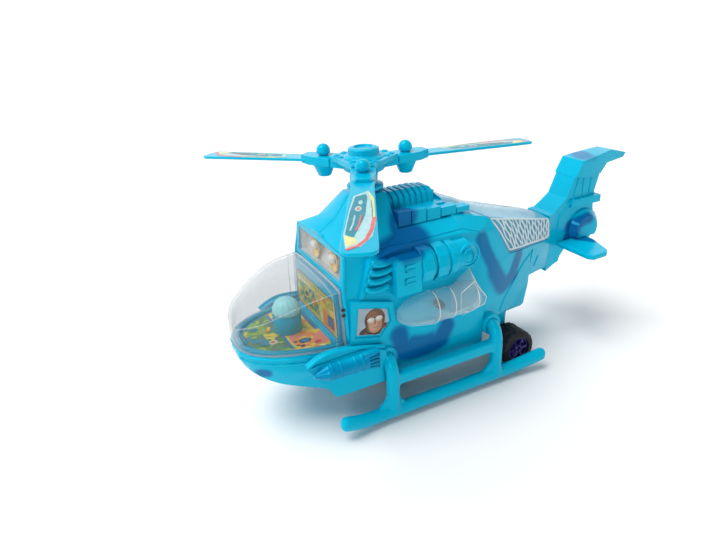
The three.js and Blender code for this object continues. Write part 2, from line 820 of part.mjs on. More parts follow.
const BLADE_DROOP = 3.4;
const bladeOutline = [
  [30, -5.4],
  [44, -5.6],
  [ROTOR_RADIUS - 4, -7.2],
  [ROTOR_RADIUS - 1, -6],
  [ROTOR_RADIUS, -3],
  [ROTOR_RADIUS, 3],
  [ROTOR_RADIUS - 1, 6],
  [ROTOR_RADIUS - 4, 7.2],
  [44, 5.6],
  [30, 5.4],
];
const bladePlate = planPlate(bladeOutline, -0.8, 0.8)
  .translate([-30, 0, 0])
  .rotate([0, BLADE_DROOP, 0])
  .translate([30, 0, BLADE_Z]);
const bladeRoot = [
  [BLADE_ROOT, -6.2],
  [31, -6.2],
  [38, -3.4],
  [38, 3.4],
  [31, 6.2],
  [BLADE_ROOT, 6.2],
];
const blade = join(
  bladePlate,
  planPlate(bladeRoot, 129, 133.8),
  upright(KNOB_RADIUS, 0, 133.7, 135.4, 2.6, 2.4, 12),
  ball(KNOB_RADIUS, 0, 136.2, 3.8),
  upright(KNOB_RADIUS, 0, 122.6, 129.1, 3.6, 6, 16)
);
["a", "b", "c"].forEach((letter, i) => {
  addPart(`blade_${letter}`, moved(turnedBy(blade, BLADE_REST + 120 * i), ROTOR_X, 0, 0), CYAN);
});

// ---- rotor drive ---------------------------------------------------------------------------

// toothed wheel about a vertical axis, tooth flanks narrowed for backlash
function gear(teeth, pitchRadius, z0, z1, phase) {
  const shape = new THREE.Shape();
  const step = (Math.PI * 2) / teeth;
  const root = pitchRadius - 1.15;
  const tip = pitchRadius + 0.85;
  for (let i = 0; i < teeth; i++) {
    const a = (i + phase) * step;
    const corners = [[root, -0.25], [tip, -0.1], [tip, 0.1], [root, 0.25]];
    corners.forEach(([r, f], k) => {
      const angle = a + f * step;
      const draw = i === 0 && k === 0 ? "moveTo" : "lineTo";
      shape[draw](r * Math.cos(angle), r * Math.sin(angle));
    });
  }
  const g = new THREE.ExtrudeGeometry(shape, { depth: z1 - z0, bevelEnabled: false });
  g.translate(0, 0, z0);
  return toSolid(g);
}

const MOTOR_X = ROTOR_X + (GEAR_TEETH + PINION_TEETH) / 2;
const rotorGear = gear(GEAR_TEETH, GEAR_TEETH / 2, 64, 67, 0)
  .subtract(upright(0, 0, 60, 70, SHAFT_RADIUS + 0.1));
addPart("rotor_shaft", upright(ROTOR_X, 0, 57.4, 132.6, SHAFT_RADIUS), STEEL);
addPart("rotor_gear", moved(rotorGear, ROTOR_X, 0, 0), NYLON);

const pinion = join(
  gear(PINION_TEETH, PINION_TEETH / 2, 63.6, 67.4, 0.5),
  upright(0, 0, 61, 69.6, 1.6, 1.6, 16)
);
addPart("motor_pinion", moved(pinion, MOTOR_X, 0, 0), BRASS);
addPart("rotor_motor", upright(MOTOR_X, 0, 70, 94, 10), STEEL);

const frameBody = join(
  box(-62, -25, -24, 24, 40, 43),
  box(-62, -25, -12, 12, 54, 57),
  box(-62, -59.4, -12, 12, 42.9, 57),
  box(-27.6, -25, -12, 12, 42.9, 69.4),
  box(-50.4, -25, -11, 11, 68, 69.4),
  ...[-59.6, -27.6].flatMap((x) => [-21, 21].map((y) => upright(x, y, 23.3, 41, 2.4, 2.4, 12)))
);
const frameHoles = join(
  upright(ROTOR_X, 0, 50, 62, SHAFT_RADIUS + RUNNING),
  upright(TURRET_X, 0, 30, 50, TURRET_PIN + RUNNING),
  upright(MOTOR_X, 0, 60, 75, 2.6)
);
const shaftSeat = upright(ROTOR_X, 0, 56.9, 60.4, 4);
addPart("gearbox_frame", join(frameBody, shaftSeat).subtract(frameHoles), CHARCOAL);

// ---- bump-and-go drive unit -------------------------------------------------------------------

const cup = upright(TURRET_X, 0, 16.4, 37.4, TURRET_RADIUS)
  .subtract(upright(TURRET_X, 0, 10, 35.2, TURRET_RADIUS - 1.6));
const ears = [-15.6, 15.6].map((y) => box(TURRET_X - 4, TURRET_X + 4, y - 2.4, y + 2.4, 7.6, 20));
const turretForm = join(
  cup,
  upright(TURRET_X, 0, 37.3, 46, TURRET_PIN),
  join(...ears).intersect(upright(TURRET_X, 0, 0, 50, TURRET_RADIUS))
).subtract(crosswise(TURRET_X, WHEEL_RADIUS, -30, 30, AXLE_RADIUS + RUNNING));
addPart("drive_turret", turretForm, CHARCOAL);
const gearcase = box(TURRET_X - 9.6, TURRET_X + 9.6, -5.6, 5.6, 6.4, 34.8)
  .subtract(crosswise(TURRET_X, WHEEL_RADIUS, -30, 30, AXLE_RADIUS + RUNNING));
addPart("drive_gearcase", gearcase, CHARCOAL);
addPart("drive_axle", crosswise(TURRET_X, WHEEL_RADIUS, -17.6, 17.6, AXLE_RADIUS), STEEL);
for (const [name, y] of [["drive_wheel_left", -9.2], ["drive_wheel_right", 9.2]]) {
  const wheel = crosswise(TURRET_X, WHEEL_RADIUS, y - 2.8, y + 2.8, WHEEL_RADIUS, WHEEL_RADIUS, 24)
    .subtract(crosswise(TURRET_X, WHEEL_RADIUS, -30, 30, AXLE_RADIUS + 0.1));
  addPart(name, wheel, BLACK);
}

// ---- rear wheels -----------------------------------------------------------------------------------

function wheelRing(y0, y1, outer, inner, chamfer, sides) {
  const profile = [
    [inner, y0],
    [outer - chamfer, y0],
    [outer, y0 + chamfer],
    [outer, y1 - chamfer],
    [outer - chamfer, y1],
    [inner, y1],
    [inner, y0],
  ];
  const g = new THREE.LatheGeometry(profile.map(([r, y]) => new THREE.Vector2(r, y)), sides);
  g.translate(REAR_AXLE_X, 0, REAR_AXLE_Z);
  return toSolid(g);
}

addPart(
  "rear_axle",
  crosswise(REAR_AXLE_X, REAR_AXLE_Z, -32.4, 32.4, AXLE_RADIUS),
  STEEL
);
const tyre = wheelRing(-34, -18, WHEEL_RADIUS, 7.3, 1.4, 24);
const rearHub = wheelRing(-33, -19, 7, AXLE_RADIUS + 0.1, 0.6, 16);
addPart("tyre_left", tyre, BLACK);
addPart("tyre_right", mirrored(tyre), BLACK);
addPart("wheel_hub_left", rearHub, INDIGO);
addPart("wheel_hub_right", mirrored(rearHub), INDIGO);

// ---- power and sound ---------------------------------------------------------------------------------

const tray = box(...TRAY_X, -24.6, 24.6, 28.8, 39)
  .subtract(box(TRAY_X[0] + 1, TRAY_X[1] - 1, -23, 23, 20, 37.4))
  .add(box(DOOR_SCREW_X - 3, TRAY_X[0] + 0.2, -3.8, 3.8, 26, 34))
  .subtract(upright(DOOR_SCREW_X, 0, 20, 33, 1.3, 1.3, 12));
addPart("battery_tray", tray, CHARCOAL);
[-1, 0, 1].forEach((place, i) => {
  const x = (TRAY_X[0] + TRAY_X[1]) / 2 + place * CELL_PITCH;
  const way = place === 0 ? -1 : 1;
  const ends = [-CELL_LENGTH / 2, CELL_LENGTH / 2 - 1].map((y) => y * way).sort((a, b) => a - b);
  const tip = (CELL_LENGTH / 2 - 1) * way;
  const can = crosswise(x, CELL_Z, ...ends, CELL_RADIUS);
  const button = crosswise(x, CELL_Z, tip - 1, tip + 1, 1.9, 1.9, 12);
  addPart(`cell_${i + 1}`, can.add(button), CELL);
});
for (const [name, y] of [["contact_left", -22.7], ["contact_right", 22.3]]) {
  addPart(name, box(TRAY_X[0] + 2, TRAY_X[1] - 2, y, y + 0.4, 27.4, 35.6), STEEL);
}
const door = join(
  box(DOOR_X[0] + GAP, DOOR_X[1] - GAP, GAP - DOOR_Y, DOOR_Y - GAP, 15, DOOR_TOP),
  box(DOOR_X[0] - 4.7, DOOR_X[0] + 1, -4, 4, 15, DOOR_TOP)
).intersect(bodyForm).subtract(join(
  upright(DOOR_SCREW_X, 0, 20, 23.6, 2.9),
  upright(DOOR_SCREW_X, 0, 20, 26, 1.4, 1.4, 12)
));
addPart("battery_door", door, CYAN);
const doorScrew = join(
  upright(DOOR_SCREW_X, 0, 22.4, 23.4, 2.5),
  upright(DOOR_SCREW_X, 0, 23.3, 32.4, 1.15, 1.15, 12)
);
addPart("door_screw", doorScrew, STEEL);

addPart("circuit_board", box(-20, 16, -15, 15, 44, 45.6), GREEN);
const speakerProfile = [
  [0, 23.6],
  [9, 23.6],
  [12.5, 25],
  [12.5, 26.6],
  [6, 29],
  [6, 33],
  [0, 33],
];
addPart("speaker", moved(turned(speakerProfile), SPEAKER_X, 0, 0), BLACK);
addPart(
  "power_switch",
  join(
    box(SWITCH_X - 2, SWITCH_X + 2, -5.9, -0.9, 26, 31),
    box(SWITCH_X - 3.6, SWITCH_X + 3.6, -7.2, 0.4, 29.9, 31.2)
  ),
  CHARCOAL
);
addPart("switch_body", box(SWITCH_X - 4.6, SWITCH_X + 4.6, -9, 9, 31.5, 37), CHARCOAL);

export default scene;
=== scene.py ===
"""Looks of a toy helicopter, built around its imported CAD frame. Lengths are named in millimetres."""

import json
import math

import bmesh
import bpy
from mathutils import Matrix, Vector
from mathutils.bvhtree import BVHTree

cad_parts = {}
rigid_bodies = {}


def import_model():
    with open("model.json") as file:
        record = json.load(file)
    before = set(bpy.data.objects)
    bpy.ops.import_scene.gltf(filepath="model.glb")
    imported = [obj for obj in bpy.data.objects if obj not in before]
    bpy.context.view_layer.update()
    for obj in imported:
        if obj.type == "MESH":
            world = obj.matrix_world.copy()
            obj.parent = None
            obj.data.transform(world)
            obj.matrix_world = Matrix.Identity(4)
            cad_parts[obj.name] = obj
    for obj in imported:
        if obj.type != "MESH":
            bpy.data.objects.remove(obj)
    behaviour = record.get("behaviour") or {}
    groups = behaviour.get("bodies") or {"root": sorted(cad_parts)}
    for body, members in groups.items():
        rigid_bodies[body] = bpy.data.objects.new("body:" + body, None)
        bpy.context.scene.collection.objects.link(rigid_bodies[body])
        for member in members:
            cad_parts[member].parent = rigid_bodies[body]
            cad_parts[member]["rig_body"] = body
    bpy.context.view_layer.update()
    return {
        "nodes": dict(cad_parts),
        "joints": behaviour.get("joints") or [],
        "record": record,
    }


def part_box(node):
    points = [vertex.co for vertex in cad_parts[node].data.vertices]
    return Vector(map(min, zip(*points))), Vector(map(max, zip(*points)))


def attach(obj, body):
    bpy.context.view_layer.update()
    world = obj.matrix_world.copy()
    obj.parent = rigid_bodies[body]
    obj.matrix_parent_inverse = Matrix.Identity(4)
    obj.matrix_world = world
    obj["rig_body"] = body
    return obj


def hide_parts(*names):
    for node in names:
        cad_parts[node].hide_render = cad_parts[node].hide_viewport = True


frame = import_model()

MM = 0.001
SLOT_OF = {part["node"]: part["material_slot"] for part in frame["record"]["subparts"]}
SIDES = (("left", -1), ("right", 1))


def joint_place(name):
    """Pivot of a joint, in millimetres."""
    found = next(j for j in frame["joints"] if j["name"] == name)
    return Vector(found["pos_m"]) / MM


ROTOR_X = joint_place("main_rotor_spin").x
REAR_AXLE = joint_place("rear_wheels_roll")
DRIVE_AXLE = joint_place("drive_wheels_roll")
BLADE_REST = -118.4  # degrees from the tail to the first blade
BLADE_DROOP = 3.4  # degrees
BLADE_Z = 131.5
KNOB_RADIUS = 25
ROTOR_RADIUS = 110
RIM_Z = 49
BELLY_Z = 21
CABIN_FRONT = -84.6
SKID_Y = 40
POD_AXIS = (0, -29.5, 82.6)
ROCKET_AXIS = (0, -37.6, 41.6)
COCKPIT_FLOOR_Z = 49.2
UPRIGHT = Matrix(((1, 0, 0, 0), (0, 0, 1, 0), (0, 1, 0, 0), (0, 0, 0, 1)))  # a plan turned up onto its side


def box_mm(node):
    """Lowest and highest corner of a CAD node, in millimetres."""
    low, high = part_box(node)
    return Vector(low) / MM, Vector(high) / MM


def middle_of(node):
    """Centre of a CAD node's box, in millimetres."""
    low, high = box_mm(node)
    return (low + high) / 2


# ---- camera ------------------------------------------------------------------


def make_camera():
    """Seen from the port bow, a little above the rotor."""
    data = bpy.data.cameras.new("camera")
    data.lens = 30
    data.sensor_width = 36
    data.clip_start = 0.01
    data.clip_end = 20
    camera = bpy.data.objects.new("camera", data)
    forward = Vector((0.3956, 0.8219, -0.4099)).normalized()
    right = Vector((0.8898, -0.4536, -0.0509)).normalized()
    up = right.cross(forward).normalized()
    basis = Matrix((right, up, -forward)).transposed().to_4x4()
    camera.matrix_world = Matrix.Translation(Vector((-189.75, -270.30, 208.1)) * MM) @ basis
    bpy.context.scene.collection.objects.link(camera)
    bpy.context.scene.camera = camera


# ---- materials ---------------------------------------------------------------


class Shader:
    """A material's node tree, with short calls to add and join nodes."""

    def __init__(self, name):
        self.material = bpy.data.materials.new(name)
        self.material.use_nodes = True
        self.tree = self.material.node_tree
        self.surface = self.tree.nodes["Principled BSDF"]
        self.output = self.tree.nodes["Material Output"]

    def add(self, kind, **settings):
        """A new node with its settings."""
        node = self.tree.nodes.new(kind)
        for key, value in settings.items():
            setattr(node, key, value)
        return node

    def link(self, source, target):
        """Joins an output to an input."""
        self.tree.links.new(source, target)

    def feed(self, node, values):
        """Gives a node's first inputs a link or a fixed value each."""
        for socket, value in zip(node.inputs, values):
            if isinstance(value, bpy.types.NodeSocket):
                self.link(value, socket)
            else:
                socket.default_value = value

    def fixed(self, **values):
        """Sets inputs of the surface to one value all over."""
        names = {
            "roughness": "Roughness",
            "metallic": "Metallic",
            "coat": "Coat Weight",
            "ior": "IOR",
            "specular_tint": "Specular Tint",
        }
        for key, value in values.items():
            self.surface.inputs[names[key]].default_value = value

    def place(self):
        """Position in the piece itself, in metres."""
        return self.add("ShaderNodeTexCoord").outputs["Object"]

    def noise(self, scale, detail=3, where=None, rough=0.5):
        """Cloudy unevenness."""
        node = self.add("ShaderNodeTexNoise")
        node.inputs["Scale"].default_value = scale
        node.inputs["Detail"].default_value = detail
        node.inputs["Roughness"].default_value = rough
        self.link(where or self.place(), node.inputs["Vector"])
        return node

    def spread(self, source, low, high, out_low=0, out_high=1, smooth=False):
        """Maps one range of values onto another."""
        node = self.add("ShaderNodeMapRange")
        if smooth:
            node.interpolation_type = "SMOOTHSTEP"
        for key, value in zip(("From Min", "From Max", "To Min", "To Max"), (low, high, out_low, out_high)):
            node.inputs[key].default_value = value
        self.link(source, node.inputs["Value"])
        return node.outputs["Result"]

    def math(self, operation, a, b):
        """Arithmetic on two values."""
        node = self.add("ShaderNodeMath", operation=operation)
        self.feed(node, (a, b))
        return node.outputs["Value"]

    def vector(self, operation, a, b):
        """Arithmetic on two vectors; the node has the result."""
        node = self.add("ShaderNodeVectorMath", operation=operation)
        self.feed(node, (a, b))
        return node

    def blend(self, factor, a, b):
        """Mixes two colours."""
        node = self.add("ShaderNodeMix", data_type="RGBA")
        self.link(factor, node.inputs[0])
        for socket, value in ((node.inputs[6], a), (node.inputs[7], b)):
            if isinstance(value, (tuple, list)):
                socket.default_value = (*value, 1)
            else:
                self.link(value, socket)
        return node.outputs[2]

    def mottle(self, scale, detail=3, low=0, high=1):
        """Slow or fine unevenness, as a value between low and high."""
        return self.spread(self.noise(scale, detail).outputs["Fac"], 0.3, 0.7, low, high)

    def base(self, colour):
        """Gives the surface its colour."""
        self.link(colour, self.surface.inputs["Base Color"])

    def rough(self, scale, low, high, detail=3):
        """Gives the surface an uneven roughness."""
        self.link(self.mottle(scale, detail, low, high), self.surface.inputs["Roughness"])

    def bump(self, height, strength, distance):
        """Gives the surface a grain from a height."""
        node = self.add("ShaderNodeBump")
        node.inputs["Strength"].default_value = strength
        node.inputs["Distance"].default_value = distance
        self.link(height, node.inputs["Height"])
        self.link(node.outputs["Normal"], self.surface.inputs["Normal"])


CYAN = (0.0, 0.475, 0.70)
CYAN_DEEP = (0.0, 0.435, 0.66)
NAVY = (0.0, 0.115, 0.35)


def spray_mask(shader, strokes):
    """Soft-edged airbrush strokes: each has two ends, a radius and a strength, in millimetres."""
    wobble = shader.noise(40, 1, rough=0.4)
    shift = shader.vector("SUBTRACT", wobble.outputs["Color"], (0.5, 0.5, 0.5))
    small = shader.vector("MULTIPLY", shift.outputs[0], (0.009, 0.009, 0.009))
    where = shader.vector("ADD", shader.place(), small.outputs[0]).outputs[0]
    total = None
    for start, end, radius, depth, strength in strokes:
        scale = Vector((1, depth, 1))
        along = (Vector(end) - Vector(start)) * scale * MM
        away = shader.vector("SUBTRACT", where, tuple(Vector(start) * MM))
        away = shader.vector("MULTIPLY", away.outputs[0], tuple(scale))
        share = shader.vector("DOT_PRODUCT", away.outputs[0], tuple(along)).outputs["Value"]
        share = shader.spread(share, 0, along.length_squared)
        nearest = shader.vector("SCALE", tuple(along), (0, 0, 0))
        shader.link(share, nearest.inputs["Scale"])
        gap = shader.vector("SUBTRACT", away.outputs[0], nearest.outputs[0])
        length = shader.vector("LENGTH", gap.outputs[0], (0, 0, 0)).outputs["Value"]
        mask = shader.spread(length, radius * 1.4 * MM, radius * 0.62 * MM, 0, strength, smooth=True)
        total = mask if total is None else shader.math("MAXIMUM", total, mask)
    return total


def cyan_plastic(name, strokes=()):
    """Satin moulded plastic with a fine moulding grain and airbrushed blue patches."""
    shader = Shader(name)
    tone = shader.blend(shader.mottle(28), CYAN, CYAN_DEEP)
    if strokes:
        tone = shader.blend(spray_mask(shader, strokes), tone, NAVY)
    shader.base(tone)
    shader.rough(300, 0.17, 0.23, 2)
    shader.bump(shader.noise(260, 2).outputs["Fac"], 0.008, 0.0003)
    shader.fixed(ior=1.46, specular_tint=(0.1, 0.86, 1.0, 1))
    return shader.material


def plain(name, colour, second=None, rough=(0.4, 0.55), scale=60, metallic=0.0, bump=0.12, coat=0.0):
    """Any opaque finish: two close tones, a roughness spread and a fine grain."""
    shader = Shader(name)
    second = second or tuple(c * 0.8 for c in colour)
    shader.base(shader.blend(shader.mottle(scale), colour, second))
    shader.rough(scale * 9, *rough)
    shader.bump(shader.noise(scale * 14, 2).outputs["Fac"], bump, 0.0002)
    shader.fixed(metallic=metallic, coat=coat)
    return shader.material


def clear_plastic(name, tint=(0.97, 0.98, 0.985), body=(0.75, 0.79, 0.81), least=0.05, most=0.5, haze=0.05):
    """Thin clear moulding: mostly see-through, milkier where it is seen edge on."""
    shader = Shader(name)
    shader.base(shader.blend(shader.noise(70).outputs["Fac"], body, tuple(c * 0.92 for c in body)))
    shader.rough(500, haze, haze + 0.05)
    shader.bump(shader.noise(90, 2).outputs["Fac"], 0.05, 0.0004)
    shader.fixed(ior=1.5)
    see = shader.add("ShaderNodeBsdfTransparent")
    see.inputs["Color"].default_value = (*tint, 1)
    edge = shader.add("ShaderNodeLayerWeight")
    edge.inputs["Blend"].default_value = 0.5
    amount = shader.spread(edge.outputs["Facing"], 0.35, 1.0, least, most, smooth=True)
    mix = shader.add("ShaderNodeMixShader")
    shader.link(amount, mix.inputs[0])
    shader.link(see.outputs[0], mix.inputs[1])
    shader.link(shader.surface.outputs[0], mix.inputs[2])
    shader.link(mix.outputs[0], shader.output.inputs["Surface"])
    return shader.material


# airbrush strokes: ends, radius, how deep sideways they count, strength
PORT_PATCHES = [
    ((-126.5, -17, 39.6), (-124.5, -20, 39.6), 3.0, 0.5, 0.95),
    ((-60, -26, 93), (-37, -26, 96), 6, 0.5, 1.0),
    ((-47, -22, 98), (-47, -8, 105), 6, 0.8, 0.95),
    ((-53, -35, 93), (-43, -35, 94), 4.6, 0.8, 0.95),
    ((1, -30, 87), (8, -30, 68), 4.6, 0.3, 0.9),
    ((8, -30, 68), (17, -28, 55), 5.8, 0.3, 0.9),
    ((17, -28, 54), (25, -26, 58), 5.0, 0.3, 0.9),
    ((25, -26, 58), (29, -24, 70), 3.6, 0.3, 0.9),
    ((-56, -34, 47), (-53, -34, 38), 6, 0.5, 1.0),
    ((-53, -34, 37), (-30, -34, 34), 6, 0.5, 1.0),
    ((-46, -34, 40), (-36, -34, 38), 5, 0.5, 0.95),
    ((-29, -34, 36), (-26, -34, 42), 5.5, 0.5, 1.0),
    ((-104, -43.4, 41.6), (-74, -43.4, 41.6), 5, 1.0, 0.6),
]
COWL_PATCHES = [((-47, -18, 104), (-40, -18, 104), 6, 0.5, 1.0)]
FIN_PATCHES = [
    ((94, -3, 112), (100, -3, 112), 3.4, 0.5, 0.7),
    ((85, -10, 70), (97, -12, 73), 3.8, 0.7, 1.0),
    ((84, -9, 60), (87, -10, 67), 4.0, 0.5, 0.95),
]
WING_PATCHES = [((90, -12, 60), (99, -24, 60), 3.6, 1.0, 0.9)]


def both_sides(patches):
    """The same sprayed patches to port and, a little shifted, to starboard."""
    def other_side(point):
        return Vector(point) * Vector((1, -1, 1)) + Vector((2, 0, 1))

    return patches + [(other_side(a), other_side(b), *more) for a, b, *more in patches]


hull_cyan = cyan_plastic("hull_cyan", both_sides(PORT_PATCHES))
cowl_cyan = cyan_plastic("cowl_cyan", both_sides(COWL_PATCHES))
tail_cyan = cyan_plastic("tail_cyan", both_sides(FIN_PATCHES))
wing_cyan = cyan_plastic("wing_cyan", both_sides(WING_PATCHES))
cyan = cyan_plastic("plain_cyan")
clear = clear_plastic("clear_canopy", tint=(0.885, 0.89, 0.895), least=0.05, most=0.45)
lamp_clear = clear_plastic("clear_lamp_window", least=0.05, most=0.25)
missile_clear = clear_plastic("clear_missile", body=(0.66, 0.86, 0.90), least=0.15, most=0.75, haze=0.05)
cover_clear = clear_plastic("clear_cover", (0.62, 0.87, 0.96), (0.26, 0.64, 0.82), 0.4, 0.8, 0.1)
# pale, nearly opaque clear: the cover's window ribs and border, and the beads of painted highlight along the
# missiles' edges
rib_and_highlight_clear = clear_plastic("clear_ribs_and_edge_highlights", body=(0.82, 0.95, 0.99), least=0.75, most=0.92, haze=0.08)
frame_clear = clear_plastic("clear_frame_lines", body=(0.72, 0.80, 0.82), least=0.2, most=0.55, haze=0.06)
dome_blue = clear_plastic("dome_blue", (0.7, 0.93, 0.98), (0.40, 0.98, 1.0), least=0.88, most=0.95, haze=0.15)
lens = clear_plastic("lamp_lens", (1, 0.98, 0.95), (0.96, 0.95, 0.92), least=0.8, most=0.95, haze=0.04)
silver = plain("silver", (0.78, 0.76, 0.72), rough=(0.3, 0.45), metallic=0.5, scale=40, bump=0.03)
gold = plain("gold_dish", (0.92, 0.60, 0.14), rough=(0.2, 0.3), metallic=0.45, scale=80, bump=0.05)
charcoal = plain("charcoal", (0.022, 0.024, 0.028), (0.034, 0.036, 0.04), rough=(0.45, 0.65), scale=90)
black_plastic = plain("black_plastic", (0.012, 0.012, 0.013), rough=(0.4, 0.6), scale=120)

FINISH = {
    "body_cyan": cyan,
    "clear_cover": clear,
    "clear_blue": dome_blue,
    "silver_reflector": silver,
    "steel": plain("steel", (0.42, 0.43, 0.45), rough=(0.25, 0.4), metallic=1.0, scale=120),
    "brass": plain("brass", (0.56, 0.38, 0.12), rough=(0.25, 0.4), metallic=1.0, scale=120),
    "nylon": plain("nylon", (0.78, 0.76, 0.70), rough=(0.45, 0.6)),
    "charcoal_plastic": charcoal,
    "black_tyre": plain(
        "tyre_black", (0.003, 0.003, 0.005), (0.006, 0.006, 0.009), (0.5, 0.75), 150, bump=0.25
    ),
    "black_plastic": black_plastic,
    "indigo_hub": plain(
        "indigo", (0.028, 0.014, 0.16), (0.045, 0.02, 0.22), (0.18, 0.3), metallic=0.55, coat=0.4
    ),
    "lamp_lens": lens,
    "board_green": plain("board_green", (0.02, 0.16, 0.06), (0.03, 0.21, 0.08), rough=(0.35, 0.5), scale=200),
    "cell_wrap": plain("cell_sleeve", (0.24, 0.26, 0.28), rough=(0.3, 0.4), metallic=0.4),
}
PRINTS = {}  # inks made so far, by colour


def busy_print(name, colours, scale):
    """Printed panel of small bright areas, each one of a few inks."""
    shader = Shader(name)
    cells = shader.add("ShaderNodeTexVoronoi")
    cells.inputs["Scale"].default_value = scale
    warp = shader.noise(scale * 0.6, 2)
    mixed = shader.vector("MULTIPLY", warp.outputs["Color"], (0.006, 0.006, 0.0))
    shader.link(shader.vector("ADD", shader.place(), mixed.outputs[0]).outputs[0], cells.inputs["Vector"])
    parts = shader.add("ShaderNodeSeparateColor")
    shader.link(cells.outputs["Color"], parts.inputs[0])
    ramp = shader.add("ShaderNodeValToRGB")
    ramp.color_ramp.interpolation = "CONSTANT"
    ramp.color_ramp.elements[0].color = (*colours[0], 1)
    ramp.color_ramp.elements[1].position = 1 / len(colours)
    ramp.color_ramp.elements[1].color = (*colours[1], 1)
    for i, colour in enumerate(colours[2:], 2):
        ramp.color_ramp.elements.new(i / len(colours)).color = (*colour, 1)
    shader.link(parts.outputs[0], ramp.inputs[0])
    shader.base(ramp.outputs[0])
    shader.rough(500, 0.25, 0.4)
    return shader.material


def print_ink(colour):
    """Printed sticker colour, glossy, with a faint uneven ink."""
    if colour not in PRINTS:
        darker = tuple(c * 0.82 for c in colour)
        PRINTS[colour] = plain(f"ink_{len(PRINTS)}", colour, darker, (0.25, 0.4), 400)
    return PRINTS[colour]


# ---- mesh helpers ------------------------------------------------------------


def finish_mesh(name, bm, body, material, replaces=(), smooth=True, sheet=False):
    """Puts a bmesh built in millimetres into the scene, riding on a CAD body.

    A sheet is left open, with the face directions it already has.
    """
    if not sheet:
        bmesh.ops.remove_doubles(bm, verts=bm.verts, dist=0.002)
        bmesh.ops.recalc_face_normals(bm, faces=bm.faces)
    bmesh.ops.scale(bm, vec=(MM, MM, MM), verts=bm.verts)
    mesh = bpy.data.meshes.new(name)
    bm.to_mesh(mesh)
    bm.free()
    mesh.polygons.foreach_set("use_smooth", [smooth] * len(mesh.polygons))
    mesh.materials.append(material)
    piece = bpy.data.objects.new(name, mesh)
    bpy.context.scene.collection.objects.link(piece)
    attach(piece, body)
    if replaces:
        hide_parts(*replaces)
    return piece


def stand_in(node, bm, material=None):
    """A new form in place of a CAD node, on its body, with its slot's finish unless another material is
    given.
    """
    slot = SLOT_OF[node]
    body = frame["nodes"][node]["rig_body"]
    return finish_mesh(f"{node}_form", bm, body, material or FINISH[slot], [node])


def soften(piece, width=0.45, segments=2, angle=26):
    """Rounded moulding edges with clean shading on the flats."""
    bevel = piece.modifiers.new("edges", "BEVEL")
    bevel.width = width * MM
    bevel.segments = segments
    bevel.limit_method = "ANGLE"
    bevel.angle_limit = math.radians(angle)
    normals = piece.modifiers.new("normals", "WEIGHTED_NORMAL")
    normals.keep_sharp = True
    return piece


def clear_shell(name, bm, replaced, material, inside, wall):
    """Clear sheet that faces away from a point inside it, given a wall inwards."""
    bmesh.ops.recalc_face_normals(bm, faces=bm.faces)
    if sum(f.normal.dot(f.calc_center_median() - Vector(inside)) for f in bm.faces) < 0:
        bmesh.ops.reverse_faces(bm, faces=bm.faces)
    piece = finish_mesh(name, bm, "airframe", material, [replaced], sheet=True)
    solid = piece.modifiers.new("wall", "SOLIDIFY")
    solid.thickness = wall * MM
    solid.offset = -1


def cad_bmesh(node):
    """The CAD form of a node as a bmesh in millimetres."""
    bm = bmesh.new()
    bm.from_mesh(frame["nodes"][node].data)
    bmesh.ops.scale(bm, vec=(1 / MM,) * 3, verts=bm.verts)
    bmesh.ops.remove_doubles(bm, verts=bm.verts, dist=0.004)
    return bm


def refine(node, material=None, width=0.45, reshape=None):
    """The CAD form with flat faces merged, then rounded along its edges."""
    bm = cad_bmesh(node)
    if reshape:
        reshape(bm)
    flat = math.radians(0.5)
    bmesh.ops.dissolve_limit(bm, angle_limit=flat, verts=list(bm.verts), edges=list(bm.edges))
    return soften(stand_in(node, bm, material), width)


def turns(count, whole=2 * math.pi):
    """Evenly spaced angles round a circle or a part of it."""
    return [whole * k / count for k in range(count)]


def catmull(points, steps):
    """Smooth curve through points, each a Vector."""
    ends = [2 * points[0] - points[1], *points, 2 * points[-1] - points[-2]]
    curve = []
    for i in range(1, len(ends) - 2):
        a, b, c, d = ends[i - 1 : i + 3]
        for k in range(steps):
            t = k / steps
            square, cube = (2 * a - 5 * b + 4 * c - d) * t**2, (3 * b - a - 3 * c + d) * t**3
            curve.append(0.5 * (2 * b + (c - a) * t + square + cube))
    return [*curve, points[-1]]


def bridge(bm, rings, count, closed=False):
    """Rows of count faces between rings of vertices; a ring can be a single point."""
    for low, high in zip(rings, rings[1:] + rings[:1] * closed):
        for k in range(count):
            n = k + 1
            corners = (low[k % len(low)], low[n % len(low)], high[n % len(high)], high[k % len(high)])
            unique = list(dict.fromkeys(corners))
            if len(unique) > 2:
                bm.faces.new(unique)


def sweep(bm, points, radius, sides=14, squash=1.0, up=Vector((0, 0, 1)), closed=False):
    """Round or oval bar through points; squash is its height over its width."""
    rings = []
    count = len(points)
    for i, point in enumerate(points):
        before = points[i - 1] if i or closed else point
        after = points[(i + 1) % count] if i < count - 1 or closed else point
        along = (after - before).normalized()
        side = along.cross(up)
        side = side.normalized() if side.length > 1e-4 else along.cross(Vector((0, 1, 0))).normalized()
        top = side.cross(along)
        wide, tall = side * radius, top * radius * squash
        rings.append([bm.verts.new(point + wide * math.cos(a) + tall * math.sin(a)) for a in turns(sides)])
    bridge(bm, rings, sides, closed)
    if not closed:
        bm.faces.new(rings[0][::-1])
        bm.faces.new(rings[-1])


def lathe(bm, profile, centre, axis="z", segments=48, ripple=None):
    """Profile of (radius, height) turned about an axis; ripple(i, k) changes a radius."""
    place = {
        "x": lambda r, h, a: Vector((h, r * math.cos(a), r * math.sin(a))),
        "y": lambda r, h, a: Vector((r * math.cos(a), h, r * math.sin(a))),
        "z": lambda r, h, a: Vector((r * math.cos(a), r * math.sin(a), h)),
    }[axis]
    rings = []
    for i, (radius, height) in enumerate(profile):
        ring = []
        count = segments if radius > 1e-6 else 1
        for k, a in enumerate(turns(count)):
            r = radius + (ripple(i, k) if ripple and count > 1 else 0)
            ring.append(bm.verts.new(Vector(centre) + place(r, height, a)))
        rings.append(ring)
    bridge(bm, rings, segments)


